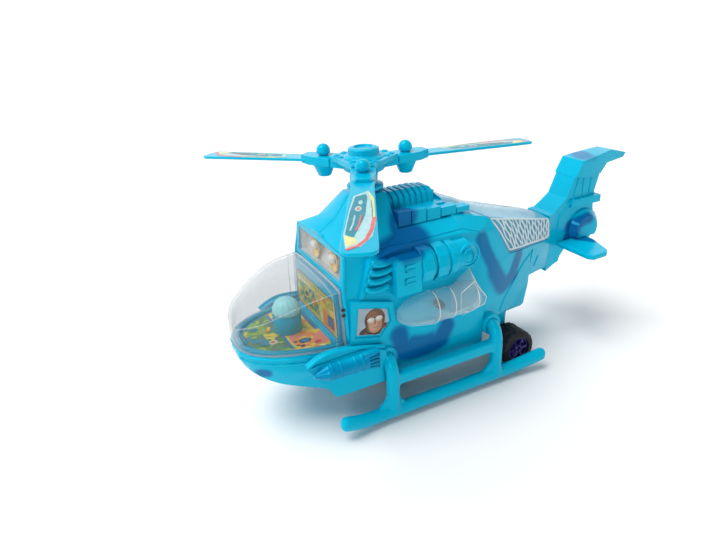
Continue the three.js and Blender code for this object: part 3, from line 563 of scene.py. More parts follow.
def prism(bm, bottom, top):
    """Closed solid between two loops of as many points."""
    loops = [[bm.verts.new(p) for p in loop] for loop in (bottom, top)]
    bm.faces.new(loops[0][::-1])
    bm.faces.new(loops[1])
    bridge(bm, loops, len(bottom))


def plate(bm, outline, low, high, place=Matrix.Identity(4)):
    """Flat outline of (x, y) points between two heights, moved by place."""
    bottom, top = ([place @ Vector((x, y, z)) for x, y in outline] for z in (low, high))
    prism(bm, bottom, top)


def block(bm, low, high, place=Matrix.Identity(4)):
    """Plain bar between two corners, moved by place."""
    (x0, y0, z0), (x1, y1, z1) = low, high
    plate(bm, [(x0, y0), (x1, y0), (x1, y1), (x0, y1)], z0, z1, place)


def oval(x, y, rx, ry, sides=28):
    """Outline of an ellipse in a sticker's own plane."""
    return [(x + rx * math.cos(a), y + ry * math.sin(a)) for a in turns(sides)]


def ribbon(line, width):
    """Outline of a stripe of even width along a line of (x, y) points."""
    upper, lower = [], []
    for i, (x, y) in enumerate(line):
        (x0, y0), (x1, y1) = line[max(i - 1, 0)], line[min(i + 1, len(line) - 1)]
        length = math.hypot(x1 - x0, y1 - y0)
        across, along = (x1 - x0) / length * width / 2, (y1 - y0) / length * width / 2
        upper.append((x - along, y + across))
        lower.append((x + along, y - across))
    return upper + lower[::-1]


def sticker(name, body, place, layers, thickness=0.05):
    """Printed picture: coloured outlines laid one over another on a thin film."""
    for i, (outline, colour) in enumerate(layers):
        bm = bmesh.new()
        plate(bm, outline, i * 0.02, i * 0.02 + thickness, place)
        ink = colour if isinstance(colour, bpy.types.Material) else print_ink(colour)
        finish_mesh(f"{name}_{i + 1}", bm, body, ink, smooth=False)


def surface_trees(*nodes):
    """Search trees of the CAD surfaces, to lay beads on them."""
    return [BVHTree.FromObject(frame["nodes"][n], bpy.context.evaluated_depsgraph_get()) for n in nodes]


HULL_LEFT = surface_trees("shell_left", "tail_cover")
FIN = surface_trees("tail_fin")


def on_flank(x, z, lift=0.0, trees=HULL_LEFT):
    """Point on the port side of a body at that x and z, raised by lift."""
    start = Vector((x, -80, z)) * MM
    hits = [tree.ray_cast(start, Vector((0, 1, 0)))[0] for tree in trees]
    ys = [hit.y / MM for hit in hits if hit is not None]
    return Vector((x, (min(ys) if ys else -20) - lift, z))


def mirror_y(points):
    """The same points on the other side of the centre plane."""
    return [Vector((p.x, -p.y, p.z)) for p in points]


# ---- nose and canopy curves --------------------------------------------------

# where along the nose: x, half width at the rim, bottom height
NOSE = [
    (-134.4, 4.5, 46),
    (-133, 9.5, 41.5),
    (-129, 16.5, 35.5),
    (-122, 22.5, 29.8),
    (-113, 27, 25.6),
    (-100, 31, 22.4),
    (-84.6, 33.8, 21),
]


def straight(table, column, x):
    """Straight line between the stations of a table."""
    for low, high in zip(table, table[1:]):
        if low[0] <= x <= high[0]:
            t = (x - low[0]) / (high[0] - low[0])
            return low[column] + (high[column] - low[column]) * t
    return table[0][column] if x < table[0][0] else table[-1][column]


def rounded(table, column, x):
    """Cubic through a table's stations, with the slopes at each taken from its neighbours."""
    if not table[0][0] <= x <= table[-1][0]:
        return straight(table, column, x)
    i = next(k for k in range(len(table) - 1) if x <= table[k + 1][0])

    def slope(k):
        a, b = table[max(k - 1, 0)], table[min(k + 1, len(table) - 1)]
        return (b[column] - a[column]) / (b[0] - a[0])

    low, high = table[i], table[i + 1]
    width = high[0] - low[0]
    t = (x - low[0]) / width
    h1, h2 = 2 * t**3 - 3 * t**2 + 1, t**3 - 2 * t**2 + t
    h3, h4 = -2 * t**3 + 3 * t**2, t**3 - t**2
    return h1 * low[column] + h2 * width * slope(i) + h3 * high[column] + h4 * width * slope(i + 1)


def round_nose(bm):
    """Splits the nose's long facets and moves them onto the smooth nose curve."""
    edge_x, edge_z = CABIN_FRONT + 0.1, RIM_Z + 0.1
    for _ in range(3):
        nose_edges = [e for e in bm.edges if all(v.co.x < edge_x and v.co.z < edge_z for v in e.verts)]
        long_edges = [e for e in nose_edges if e.calc_length() > 3.2]
        bmesh.ops.subdivide_edges(bm, edges=long_edges, cuts=1)
    bmesh.ops.triangulate(bm, faces=[f for f in bm.faces if f.calc_center_median().x < edge_x])
    for v in bm.verts:
        x, y, z = v.co
        if x < CABIN_FRONT and z < edge_z:
            v.co.y = y * rounded(NOSE, 1, x) / straight(NOSE, 1, x)
            v.co.z = RIM_Z - (RIM_Z - z) * (RIM_Z - rounded(NOSE, 2, x)) / (RIM_Z - straight(NOSE, 2, x))


# ---- hull --------------------------------------------------------------------


def make_hull():
    """Hull halves, cowl, fin, tail planes and battery door."""
    refine("shell_left", hull_cyan, 0.4, round_nose)
    refine("shell_right", hull_cyan, 0.4, round_nose)
    refine("engine_cowl", cowl_cyan, 0.5)
    refine("tail_fin", tail_cyan, 0.5)
    for side, _ in SIDES:
        refine(f"stabiliser_{side}", wing_cyan, 0.5)
    refine("battery_door", cyan, 0.3)


def rim_line(margin, z):
    """Line round the nose at the canopy seat, drawn in by a margin."""
    tip = -134.1
    half = [Vector((x, rounded(NOSE, 1, x), z)) for x in spread_out(tip, CABIN_FRONT, 40)]
    line = mirror_y(half[::-1]) + half
    inset = []
    for before, here, after in zip(line, line[1:], line[2:]):
        along = (after - before).normalized()
        inset.append(here + Vector((along.y, -along.x, 0)) * margin)
    return [p for p in inset if p.x > tip + margin * 0.9]


def spread_out(low, high, count):
    """Stations that crowd towards the low end, where the nose curves most."""
    return [low + (high - low) * (i / (count - 1)) ** 2 for i in range(count)]


def make_nose_bands():
    """Two moulded beads round the nose, just under the canopy seat."""
    bare = -110
    for i, (z, radius) in enumerate(((47.6, 0.85), (44.6, 0.7))):
        share = on_flank(bare, z).y / rounded(NOSE, 1, bare)
        half = [on_flank(x, z) for x in spread_out(-133.3, bare, 30)]
        half += [Vector((x, share * rounded(NOSE, 1, x), z)) for x in range(bare + 2, -84, 3)]
        bm = bmesh.new()
        sweep(bm, half[::-1] + mirror_y(half), radius, 10)
        finish_mesh(f"nose_band_{i + 1}", bm, "airframe", hull_cyan)


def on_legs(route, lift=0.0, trees=HULL_LEFT):
    """Points laid on the port side along straight legs between (x, z) points, eight to a leg."""
    points = []
    for (x0, z0), (x1, z1) in zip(route, route[1:]):
        points += [on_flank(x0 + (x1 - x0) * k / 8, z0 + (z1 - z0) * k / 8, lift, trees) for k in range(8)]
    return points


def mirrored_copy(name, build, material, soft=0):
    """The same small moulding on the port side and, mirrored, to starboard."""
    for side, sign in SIDES:
        bm = bmesh.new()
        build(bm)
        if sign > 0:
            bmesh.ops.scale(bm, vec=(1, -1, 1), verts=bm.verts)
        piece = finish_mesh(f"{name}_{side}", bm, "airframe", material)
        if soft:
            soften(piece, soft)


def make_flank_details():
    """Small mouldings of the flanks, cabin front, rocket pods and fin."""
    def brackets(bm):
        x0, x1, thick = -53.6, -47.6, 1.0
        for z0, z1 in ((77.2, 80.8), (84.4, 88.0)):
            for a, b, c, d in ((x0, x0 + thick, z0, z1), (x0, x1, z1 - thick, z1), (x0, x1, z0, z0 + thick)):
                block(bm, (a, -39.0, c), (b, -38.1, d))

    def pod_straps(bm):
        for low, high, radius in ((-43.6, -36.8, 11.0), (-34.4, -27.8, 10.8), (-26, -21.6, 10.3)):
            flank = [(radius - 0.6, low), (radius, low + 0.5), (radius, high - 0.5), (radius - 0.6, high)]
            profile = [(8, low), *flank, (8, high), (8, low)]
            lathe(bm, profile, POD_AXIS, "x", 12)

    def pod_end_ring(bm):
        for radius, lift, thick in ((6.2, 37.4, 0.6), (4.0, 38.3, 0.45)):
            ring = [Vector((x, -lift, z)) for x, z in oval(-14.4, 84, radius, radius, 32)]
            sweep(bm, ring, thick, 10, up=Vector((0, 1, 0)), closed=True)

    def rocket_rings(bm):
        for x in (-97.4, -92.6, -84.6, -80.6):
            lathe(bm, [(4.7, x - 0.7), (5.1, x - 0.4), (5.1, x + 0.4), (4.7, x + 0.7)], ROCKET_AXIS, "x", 32)

    def rocket_fins(bm):
        for z, way in ((44.4, 1), (39.0, -1)):
            tail = [(-81, -1.2), (-77, 0.6), (-71.4, 1.8), (-71.4, -0.6), (-81, -1.2)]
            sweep(bm, [Vector((x, -40.9, z + h * way)) for x, h in tail], 0.7, 10)
        sweep(bm, [Vector((-80, -41.2, 41.7)), Vector((-71.6, -41.2, 41.7))], 0.8, 10)

    def wedge_arch(bm):
        arch = [(-108.6, 46.4), (-103, 49.4), (-96, 51.0), (-86, 50.4), (-76, 48.4), (-66, 45.6)]
        curve = catmull([Vector((x, -37.0, z)) for x, z in arch], 5)
        sweep(bm, curve, 1.0, 12)
        plate(bm, [(p.x, p.z) for p in curve] + [(-68, 43), (-105, 43)], -36.9, -33, UPRIGHT)

    def side_creases(bm):
        routes = [
            [(-70, 95.4), (-42, 95.8), (-12, 95.6), (2, 91)],
            [(14.4, 39), (18, 45), (28, 55), (36, 61.5), (44, 66)],
            [(45.6, 67), (44.4, 57)],
            [(52.6, 60.5), (49.6, 53.5)],
        ]
        for route in routes:
            sweep(bm, on_legs(route), 0.55, 8)

    def fin_beads(bm):
        routes = [
            [(89.6, 100.6), (88.0, 93.5), (85.0, 86.2), (76.0, 79.4), (74.4, 70)],
            [(94.2, 99.3), (94.2, 89.2), (90.0, 86.2)],
            [(101.0, 98.7), (99.7, 88)],
        ]
        for route in routes:
            sweep(bm, on_legs(route, trees=FIN), 0.55, 8)

    def cabin_edges(bm):
        post = [
            (-84.2, 33.4, 52), (-84.3, 32.7, 66), (-84.3, 31.2, 79.4), (-82.7, 30, 90), (-82.1, 29.2, 96.4)
        ]
        sweep(bm, catmull([Vector((x, -y, z)) for x, y, z in post], 4), 0.9, 12, up=Vector((1, 0, 0)))
        sweep(bm, [Vector((-82.0, -29.3, 96.6)), Vector((-82.0, 0, 98.6)), Vector((-82.0, 6, 98.5))], 0.8, 12)
        sweep(bm, [Vector((-84.2, -31.0, 80.3)), Vector((-84.2, 0, 80.6))], 0.7, 12)

    def louvre_hoods(bm):
        for z in (76.8, 81.2, 85.6, 90.0):
            left = -74 + (z - 75) * 0.3
            arc = [(left, z + 1.5), (left + 3.5, z - 0.3), (left + 8, z - 0.6), (left + 13, z + 0.6)]
            sweep(bm, catmull([Vector((x, -33.2, h)) for x, h in arc], 5), 1.9, 12, squash=0.8)

    mouldings = (
        ("cabin_edges", cabin_edges, 0),
        ("louvre_hoods", louvre_hoods, 0),
        ("pod_brackets", brackets, 0.25),
        ("pod_straps", pod_straps, 0.4),
        ("pod_ring", pod_end_ring, 0),
        ("wedge_arch", wedge_arch, 0.3),
        ("rocket_rings", rocket_rings, 0),
        ("rocket_fins", rocket_fins, 0),
        ("fin_beads", fin_beads, 0),
        ("flank_creases", side_creases, 0),
    )
    for name, build, soft in mouldings:
        colour = tail_cyan if build is fin_beads else hull_cyan
        mirrored_copy(name, build, colour, soft)


# ---- canopy and cockpit ------------------------------------------------------

# where along the canopy: x, then pairs of half width and height at seat, side, crease, roof and crest
CANOPY = [
    (-134.2, 4.2, 49.3, 4.6, 54, 4.1, 59.4, 2.4, 61.5, 0, 62.2),
    (-133, 9.2, 49.3, 9.5, 55, 8.9, 62, 5, 64.6, 0, 65.7),
    (-129, 16.2, 49.3, 16.3, 57, 15.6, 64.8, 9, 68.6, 0, 70.3),
    (-122, 22.2, 49.3, 22.2, 58.5, 21.4, 68, 12.5, 72.8, 0, 74.9),
    (-113, 26.7, 49.3, 26.6, 61, 25.8, 72.5, 15, 77, 0, 78.9),
    (-100, 30.7, 49.3, 30.6, 63, 29.6, 77, 18, 80.4, 0, 81.5),
    (-84.9, 33.4, 49.3, 32.4, 64, 30.4, 79, 20, 80.2, 0, 80.5),
]
CREASE = 2


CANOPY_STEPS = 5


def canopy_ring(x):
    """Section of the canopy at x, from the port seat over the creases and crest to starboard."""
    corners = [Vector((max(0, rounded(CANOPY, k, x)), rounded(CANOPY, k + 1, x))) for k in range(1, 11, 2)]
    lower = catmull(corners[: CREASE + 1], CANOPY_STEPS)
    upper = catmull([*corners[CREASE:], Vector((-corners[3].x, corners[3].y))], CANOPY_STEPS)
    crest = next(i for i, p in enumerate(upper) if p.x < 1e-6)
    port = [Vector((x, -p.x, p.y)) for p in lower + upper[1 : crest + 1]]
    return port + mirror_y(port[-2::-1])


def make_canopy():
    """Clear nose canopy with its edge, crease and seat lines."""
    bm = bmesh.new()
    stations = spread_out(CANOPY[0][0], CANOPY[-1][0], 30)
    rings = [[bm.verts.new(p) for p in canopy_ring(x)] for x in stations]
    bridge(bm, rings, len(rings[0]) - 1)
    bm.faces.new(rings[0])
    clear_shell("canopy_shell", bm, "canopy", clear, (-100, 0, 60), 1.3)
    bm = bmesh.new()
    for x, radius in ((-86.2, 0.6), (-90.0, 0.3)):
        sweep(bm, canopy_ring(x), radius, 10, up=Vector((1, 0, 0)))
    crease = [canopy_ring(x)[CREASE * CANOPY_STEPS] for x in stations[3:]]
    for line in (crease, mirror_y(crease)):
        sweep(bm, line, 0.3, 8)
    sweep(bm, rim_line(0.7, 49.9), 0.4, 10)
    finish_mesh("canopy_frame_lines", bm, "airframe", frame_clear)


# inks of the printed pictures
GREEN = (0.10, 0.30, 0.06)
LEAF = (0.30, 0.50, 0.06)
YELLOW = (0.80, 0.58, 0.05)
ORANGE = (0.85, 0.26, 0.05)
PINK = (0.82, 0.26, 0.18)
INK_BLUE = (0.03, 0.22, 0.48)
DIM = (0.12, 0.20, 0.14)
CREAM = (0.80, 0.76, 0.55)
DARK = (0.03, 0.05, 0.07)
WHITE = (0.82, 0.84, 0.85)
RED = (0.70, 0.06, 0.05)
TEAL = (0.01, 0.27, 0.36)
PALE = (0.42, 0.72, 0.76)
LEMON = (0.82, 0.80, 0.34)
CORAL = (0.80, 0.16, 0.16)


def make_coaming():
    """Lip round the cockpit, its raised floor and the beacon's collar."""
    bm = bmesh.new()
    sweep(bm, [p for p in rim_line(3.2, 49.4) if p.x < -86], 1.3, 12, squash=0.9)
    pad = [(p.x, p.y) for p in rim_line(5.2, 0) if p.x < -86]
    plate(bm, pad, 47.0, COCKPIT_FLOOR_Z)
    middle = middle_of("beacon_dome")
    lathe(bm, [(7.45, 50), (7.6, 50.4), (7.6, 58.4), (7.45, 58.8)], (middle.x, middle.y, 0), "z", 48)
    finish_mesh("cockpit_coaming", bm, "airframe", cyan)


def print_cockpit():
    """Printed floor and bulkhead: busy bright areas with dials over them."""
    floor = Matrix.Translation((0, 0, COCKPIT_FLOOR_Z))
    outline = [(p.x, p.y) for p in rim_line(6.6, 0) if p.x < -88.5]
    front = [p for p in outline if p[0] < -109]
    meadow = busy_print("print_green", (GREEN, LEAF, DIM, GREEN, YELLOW, TEAL), 330)
    sunny = busy_print("print_yellow", (YELLOW, YELLOW, LEAF, YELLOW, ORANGE, LEMON), 330)
    warm = busy_print("print_orange", (ORANGE, ORANGE, YELLOW, PINK, ORANGE, YELLOW), 260)
    layers = [
        (outline, sunny),
        (front, meadow),
        ([(-127, 4), (-121, 12), (-114, 12), (-116, 2)], LEAF),
        ([(-107.5, -21.6), (-107.5, -7), (-90, -5), (-90, -24)], warm),
        ([(-98, -22.6), (-96, -14), (-90, -10), (-90, -23.8)], PINK),
        ([(-109.8, -20.6), (-108.6, -20.6), (-108.6, 20.6), (-109.8, 20.6)], INK_BLUE),
        ([(-92.4, -8), (-90, -8), (-90, 23), (-92.4, 23)], INK_BLUE),
        (oval(-116, -9, 2.4, 1.9), CREAM),
        (oval(-116, -9, 1.4, 1.0), RED),
        (oval(-101, -16, 3.4, 2.4), DARK),
        (oval(-101, -16, 2.4, 1.6), INK_BLUE),
        (oval(-104, -20.4, 1.4, 0.9), DARK),
        (oval(-106, -19, 0.9, 0.7), DARK),
        (oval(-106, -15, 0.9, 0.7), DARK),
        (oval(-95.6, -20.5, 2.0, 1.3), RED),
        (oval(-103, 12, 4.2, 3.0), CREAM),
        (oval(-103, 12, 3.2, 2.2), RED),
        (oval(-103, 12, 2.0, 1.3), YELLOW),
        (oval(-121, 8, 2.4, 1.8), TEAL),
        (oval(-98, 19, 2.6, 1.8), LEAF),
        (oval(-115, 3, 1.6, 1.2), ORANGE),
        (oval(-123, 0, 1.6, 1.2), LEAF),
        ([(-124, -4), (-118, -3), (-118, -12), (-122, -10)], TEAL),
    ]
    sticker("floor_print", "airframe", floor, layers)
    wall = Matrix(((0, 0, -1, CABIN_FRONT - 2.5), (1, 0, 0, 0), (0, 1, 0, 0), (0, 0, 0, 1)))
    bulkhead = [
        ([(-27, 50.5), (27, 50.5), (26, 68), (24.6, 71.6), (-24.6, 71.6), (-26, 68)], DARK),
        ([(-26.4, 51), (26.4, 51), (25.4, 68), (24.2, 71), (-24.2, 71), (-25.4, 68)], sunny),
        ([(-25.8, 51.5), (-9, 51.5), (-9, 62), (-25.2, 62)], warm),
        ([(-4, 54), (22, 54), (22, 66), (-4, 66)], meadow),
        ([(-22.6, 54), (-15.6, 54), (-15.6, 60.6), (-22.6, 60.6)], DARK),
        ([(-21.8, 54.8), (-16.4, 54.8), (-16.4, 59.8), (-21.8, 59.8)], INK_BLUE),
        (oval(-12.5, 66.4, 2.6, 1.6), ORANGE),
        (oval(-20, 66.4, 2.8, 1.8), LEAF),
        (oval(-20, 66.4, 1.4, 0.9), YELLOW),
        (oval(12, 61, 4, 2.6), YELLOW),
        (oval(12, 61, 2.4, 1.4), DARK),
        (oval(2, 60, 2.8, 2.2), ORANGE),
        (ribbon([(-24, 69.6), (24, 69.6)], 1.2), LEAF),
    ]
    sticker("bulkhead_print", "airframe", wall, bulkhead)


def make_beacon():
    """Dome with upright ribs."""
    def ribs(i, k):
        return -0.35 if 0 < i < 8 and k % 6 in (0, 1) else 0

    low, middle = box_mm("beacon_dome")[0], middle_of("beacon_dome")
    profile = [
        (0, 0), (7.4, 0), (7.4, 1.4), (7.2, 2.9), (6.7, 4.5), (5.8, 6.1), (4.4, 7.4), (2.4, 8.2), (0, 8.5)
    ]
    bm = bmesh.new()
    lathe(bm, [(r, low.z + h) for r, h in profile], (middle.x, middle.y, 0), "z", 72, ribs)
    finish_mesh("beacon_ribbed", bm, "airframe", dome_blue, ["beacon_dome"])


def make_cockpit():
    """Tub with its coaming, prints and beacon, and the canopy's clips."""
    refine("cockpit_tub", cyan, 0.4)
    make_coaming()
    print_cockpit()
    make_beacon()
    bm = bmesh.new()
    for z in (66.5, 69.5):
        block(bm, (-86.6, -33.4, z), (-84.9, -32.4, z + 1.2))
    finish_mesh("canopy_clips", bm, "airframe", black_plastic, smooth=False)


def make_lamps():
    """Two bulbs in gold dishes behind the roof window."""
    bm = bmesh.new()
    block(bm, (-83.0, -26.5, 81.95), (-79.6, 26.5, 82.25))
    block(bm, (-82.0, -26.5, 94.6), (-76.6, 26.5, 94.9))
    for y in (-26.6, 26.3):
        block(bm, (-82.4, y, 82.2), (-77.6, y + 0.3, 94.6))
    finish_mesh("lamp_tray", bm, "airframe", silver, smooth=False)
    refine("lamp_reflector", width=0.2)
    refine("lamp_window", lamp_clear, 0.15)
    for side, _ in SIDES:
        root, centre = box_mm(f"headlamp_{side}")[1].x, middle_of(f"headlamp_{side}")
        bm = bmesh.new()
        bulb = [(0, -4.25), (1.0, -4.05), (1.8, -3.4), (2.15, -2.3), (1.9, -1.2), (1.2, -0.5), (0, -0.5)]
        lathe(bm, [(r * 1.3, root + h) for r, h in bulb], (0, centre.y + 0.7, centre.z + 0.5), "x", 32)
        finish_mesh(f"lamp_bulb_{side}", bm, "airframe", lens, [f"headlamp_{side}"])
        bm = bmesh.new()
        dish = [
            (5.0, -1.4), (4.6, -1.0), (3.4, -0.5), (1.5, -0.3), (1.5, 0.1), (3.6, 0.0), (5.2, -0.9),
            (5.3, -1.4), (5.0, -1.4)
        ]
        lathe(bm, [(r, root - 1.8 + h) for r, h in dish], (0, centre.y - 1.6, centre.z - 0.4), "x", 40)
        finish_mesh(f"lamp_dish_{side}", bm, "airframe", gold)


# ---- pilot picture -----------------------------------------------------------


def make_pilot_picture():
    """A generic airman in helmet and goggles, printed on a sticker in the door recess."""
    helmet = (0.16, 0.07, 0.03)
    strap = (0.09, 0.04, 0.02)
    skin = (0.50, 0.25, 0.14)
    jacket = (0.06, 0.04, 0.035)
    backing = (0.36, 0.48, 0.56)
    glass = (0.62, 0.60, 0.52)
    shade = (0.30, 0.15, 0.09)
    lighter = (0.24, 0.11, 0.05)
    cheek = (0.60, 0.33, 0.20)
    collar = (0.20, 0.13, 0.09)
    x, z, size = -69.4, 58.9, 1.2

    def at(*points):
        return [(x + dx * size, z + dz * size) for dx, dz in points]

    def spot(dx, dz, rx, ry):
        return oval(x + dx * size, z + dz * size, rx * size, ry * size)

    layers = [
        ([(-80.0, 54.6), (-67.2, 51.4), (-61.4, 57.9), (-62.4, 64.9), (-78.2, 69.2)], backing),
        ([(-79, 54.5), (-67.3, 51.6), (-62.4, 57), (-64, 57.4), (-72.6, 58.6), (-77.6, 56.4)], jacket),
        (spot(0, 1.6, 4.9, 5.0), helmet),
        (spot(-1.0, 3.6, 2.6, 2.2), lighter),
        (spot(0, -0.9, 3.5, 4.0), skin),
        (spot(-0.7, -1.3, 1.9, 2.6), cheek),
        (at((-4.7, 1.0), (4.7, 1.0), (4.5, 2.9), (-4.5, 2.9)), strap),
        (spot(-1.9, 1.7, 1.75, 1.25), glass),
        (spot(1.9, 1.7, 1.75, 1.25), glass),
        (spot(-2.2, 2.0, 0.7, 0.5), WHITE),
        (spot(1.6, 2.0, 0.7, 0.5), WHITE),
        (spot(0, 0.1, 0.45, 0.8), shade),
        (at((-1.1, -2.2), (1.1, -2.2), (1.0, -1.95), (-1.0, -1.95)), shade),
        (at((-4.6, 0.6), (-3.4, -0.4), (-2.9, -4.2), (-4.2, -2.6)), helmet),
        (at((4.6, 0.6), (3.4, -0.4), (2.9, -4.2), (4.2, -2.6)), helmet),
        (at((-3.2, -4.4), (0, -5.0), (3.2, -4.4), (0, -5.9)), strap),
        (at((-5.6, -3.6), (-4.4, -3.2), (-4.0, -4.2), (-5.2, -4.4)), collar),
        (at((5.4, -1.6), (4.2, -3.6), (4.8, -4.0), (6.0, -2.2)), collar),
    ]
    recess_y = 34.05
    for side, sign in SIDES:
        place = Matrix(((1, 0, 0, 0), (0, 0, sign, sign * recess_y), (0, 1, 0, 0), (0, 0, 0, 1)))
        sticker(f"pilot_print_{side}", "airframe", place, layers)


# ---- rear cover --------------------------------------------------------------


def make_rear_cover():
    """Clear saddle cover with the wavy ribs of its side windows."""
    refine("tail_cover", cover_clear, 0.3)
    corners = [(10.6, 94.6), (22.6, 74.6), (62.6, 69.6), (63.6, 80.4)]
    upper_edge = (Vector((12, 94.0)), Vector((63.0, 80.0)))
    lower_edge = (Vector((23.5, 74.4)), Vector((62.4, 69.8)))

    def border(bm):
        sweep(bm, on_legs(corners + corners[:1], 0.1), 0.55, 10, up=Vector((0, 1, 0)), closed=True)

    def ribs(bm):
        count = 13
        for i in range(count):
            t = (i + 0.7) / count
            top, foot = upper_edge[0].lerp(upper_edge[1], t), lower_edge[0].lerp(lower_edge[1], t)
            for lean, radius, swing in ((0, 0.5, 0.9), (1.7, 0.34, -0.7)):
                line = []
                for s in (k / 12 for k in range(13)):
                    wave = lean + swing * math.sin(9 * s + 1.7 * i)
                    x, z = top.lerp(foot, s)
                    line.append(on_flank(x + wave, z, 0.05))
                sweep(bm, line, radius, 8)

    mirrored_copy("cover_border", border, rib_and_highlight_clear)
    mirrored_copy("cover_ribs", ribs, rib_and_highlight_clear)


# ---- missiles ----------------------------------------------------------------


MISSILE_NOSE = box_mm("missile_left")[0].x
MISSILE_ROOT = -box_mm("missile_left")[1].y
MISSILE_Z = 59.2


def missile_arc(sign, along, r, angles):
    """Points round the outer half of a missile, some way along from its nose."""
    x = MISSILE_NOSE + along
    return [Vector((x, sign * (MISSILE_ROOT + r * math.sin(a)), MISSILE_Z + r * math.cos(a))) for a in angles]


def missile_fin_loops(sign):
    """Outline of a missile's tail fin at its root, and the narrower one outside."""
    outline = [(-24, 50), (-16, 47.6), (-2.4, 51), (-0.9, 57), (-9.4, 70.4), (-12, 75.5), (-24, 67.8)]
    mid_x, mid_z = -13.5, 60.5
    inner, outer = sign * (MISSILE_ROOT + 0.1), sign * (MISSILE_ROOT + 6.2)
    root = [Vector((x, inner, z)) for x, z in outline]
    tip = [Vector((mid_x + (x - mid_x) * 0.72, outer, mid_z + (z - mid_z) * 0.62)) for x, z in outline]
    return root, tip


def make_missiles():
    """Clear half missiles on the flanks, with a dark bulb inside each."""
    profile = [
        (0, 0), (2.2, 0.3), (4.2, 1.6), (6.4, 4.6), (7.8, 8.2), (8.9, 13), (9.35, 17.6), (9.35, 18.4),
        (9.85, 18.7), (9.85, 19.9), (9.35, 20.2), (9.3, 29), (8.9, 36), (8.4, 42), (8.3, 47.6), (7.6, 48),
    ]
    half_turn = [math.pi * k / 24 for k in range(25)]
    for side, sign in SIDES:
        bm = bmesh.new()
        rings = [[bm.verts.new(p) for p in missile_arc(sign, h, r, half_turn)] for r, h in profile]
        bridge(bm, rings, len(half_turn) - 1)
        bmesh.ops.remove_doubles(bm, verts=bm.verts, dist=0.01)
        inside = (MISSILE_NOSE + 24, sign * MISSILE_ROOT, MISSILE_Z)
        clear_shell(f"missile_shell_{side}", bm, f"missile_{side}", missile_clear, inside, 1.1)

        root, tip = missile_fin_loops(sign)
        bm = bmesh.new()
        prism(bm, root, tip)
        fins = finish_mesh(f"missile_fins_{side}", bm, "airframe", missile_clear)
        soften(fins, 0.8, 3, 15)

        # pale beads round the fin tips, down the fin corners and round the body: painted highlights along the
        # missile's edges
        bm = bmesh.new()
        sweep(bm, tip, 0.3, 8, up=Vector((0, 1, 0)), closed=True)
        for foot, corner in list(zip(root, tip))[1:6]:
            sweep(bm, [corner, corner.lerp(foot, 0.96)], 0.25, 8)
        for along, radius in ((20.6, 9.5), (31, 9.2), (46.4, 8.4)):
            arc = missile_arc(sign, along, radius, turns(18, math.pi)[1:])
            sweep(bm, arc, 0.28, 8, up=Vector((1, 0, 0)))
        finish_mesh(f"missile_edge_highlights_{side}", bm, "airframe", rib_and_highlight_clear)

        bm = bmesh.new()
        lamp = middle_of(f"missile_lamp_{side}")
        stem = [(0, 0), (2.3, 0), (2.3, 3.2), (2.0, 4.6), (1.2, 5.6), (0, 6.0)]
        lathe(bm, [(r, sign * (33.6 + h)) for r, h in stem], (lamp.x, 0, lamp.z), "y", 28)
        finish_mesh(f"missile_bulb_{side}", bm, "airframe", charcoal, [f"missile_lamp_{side}"])


# ---- skids -------------------------------------------------------------------


def make_skids():
    """Skid frames of round bar, melted into one moulding each."""
    front, rear, boss = -63.5, 4.0, 36.5
    for side, sign in SIDES:
        bm = bmesh.new()
        for x in (front, rear):
            leg = [(30.0, boss), (35.4, boss), (38.6, 33.4), (SKID_Y, 27.6), (SKID_Y, 16), (SKID_Y, 5.4)]
            sweep(bm, catmull([Vector((x, y, z)) for y, z in leg], 6), 3.75, 18, up=Vector((1, 0, 0)))
        runner = [
            (-92.6, 42.4, 10.4), (-84, 41.4, 7.8), (-72, 40.2, 6.3), (-60, SKID_Y, 6.2), (0, SKID_Y, 6.2),
            (14, 40.2, 6.3), (26, 41.2, 8.0), (35.6, 42.4, 10.0)
        ]
        sweep(bm, catmull([Vector(p) for p in runner], 6), 3.3, 18, squash=1.28)
        ball = [(0, -4.1), (2.0, -3.6), (3.1, -2), (3.3, 0), (3.1, 2), (2.0, 3.6), (0, 4.1)]
        for x, y, z in (runner[0], runner[-1]):
            lathe(bm, [(r, z + h) for r, h in ball], (x, y, 0), "z", 20)
        block(bm, (front, SKID_Y - 2.7, 22.9), (rear, SKID_Y + 2.7, 29.2))
        for x, way in ((front, -1), (front, 1), (rear, -1)):
            gusset = [(x + way * 2, 9), (x + way * (10 if way < 0 else 7), 9.6), (x + way * 2, 17)]
            plate(bm, gusset, SKID_Y - 1.4, SKID_Y + 1.4, UPRIGHT)
        if sign < 0:
            bmesh.ops.scale(bm, vec=(1, -1, 1), verts=bm.verts)
        skid = stand_in(f"skid_{side}", bm)
        melt = skid.modifiers.new("melt", "REMESH")
        melt.mode = "VOXEL"
        melt.voxel_size = 0.55 * MM
        melt.use_smooth_shade = True
        even = skid.modifiers.new("even", "SMOOTH")
        even.factor = 0.5
        even.iterations = 18


# ---- rotor -------------------------------------------------------------------


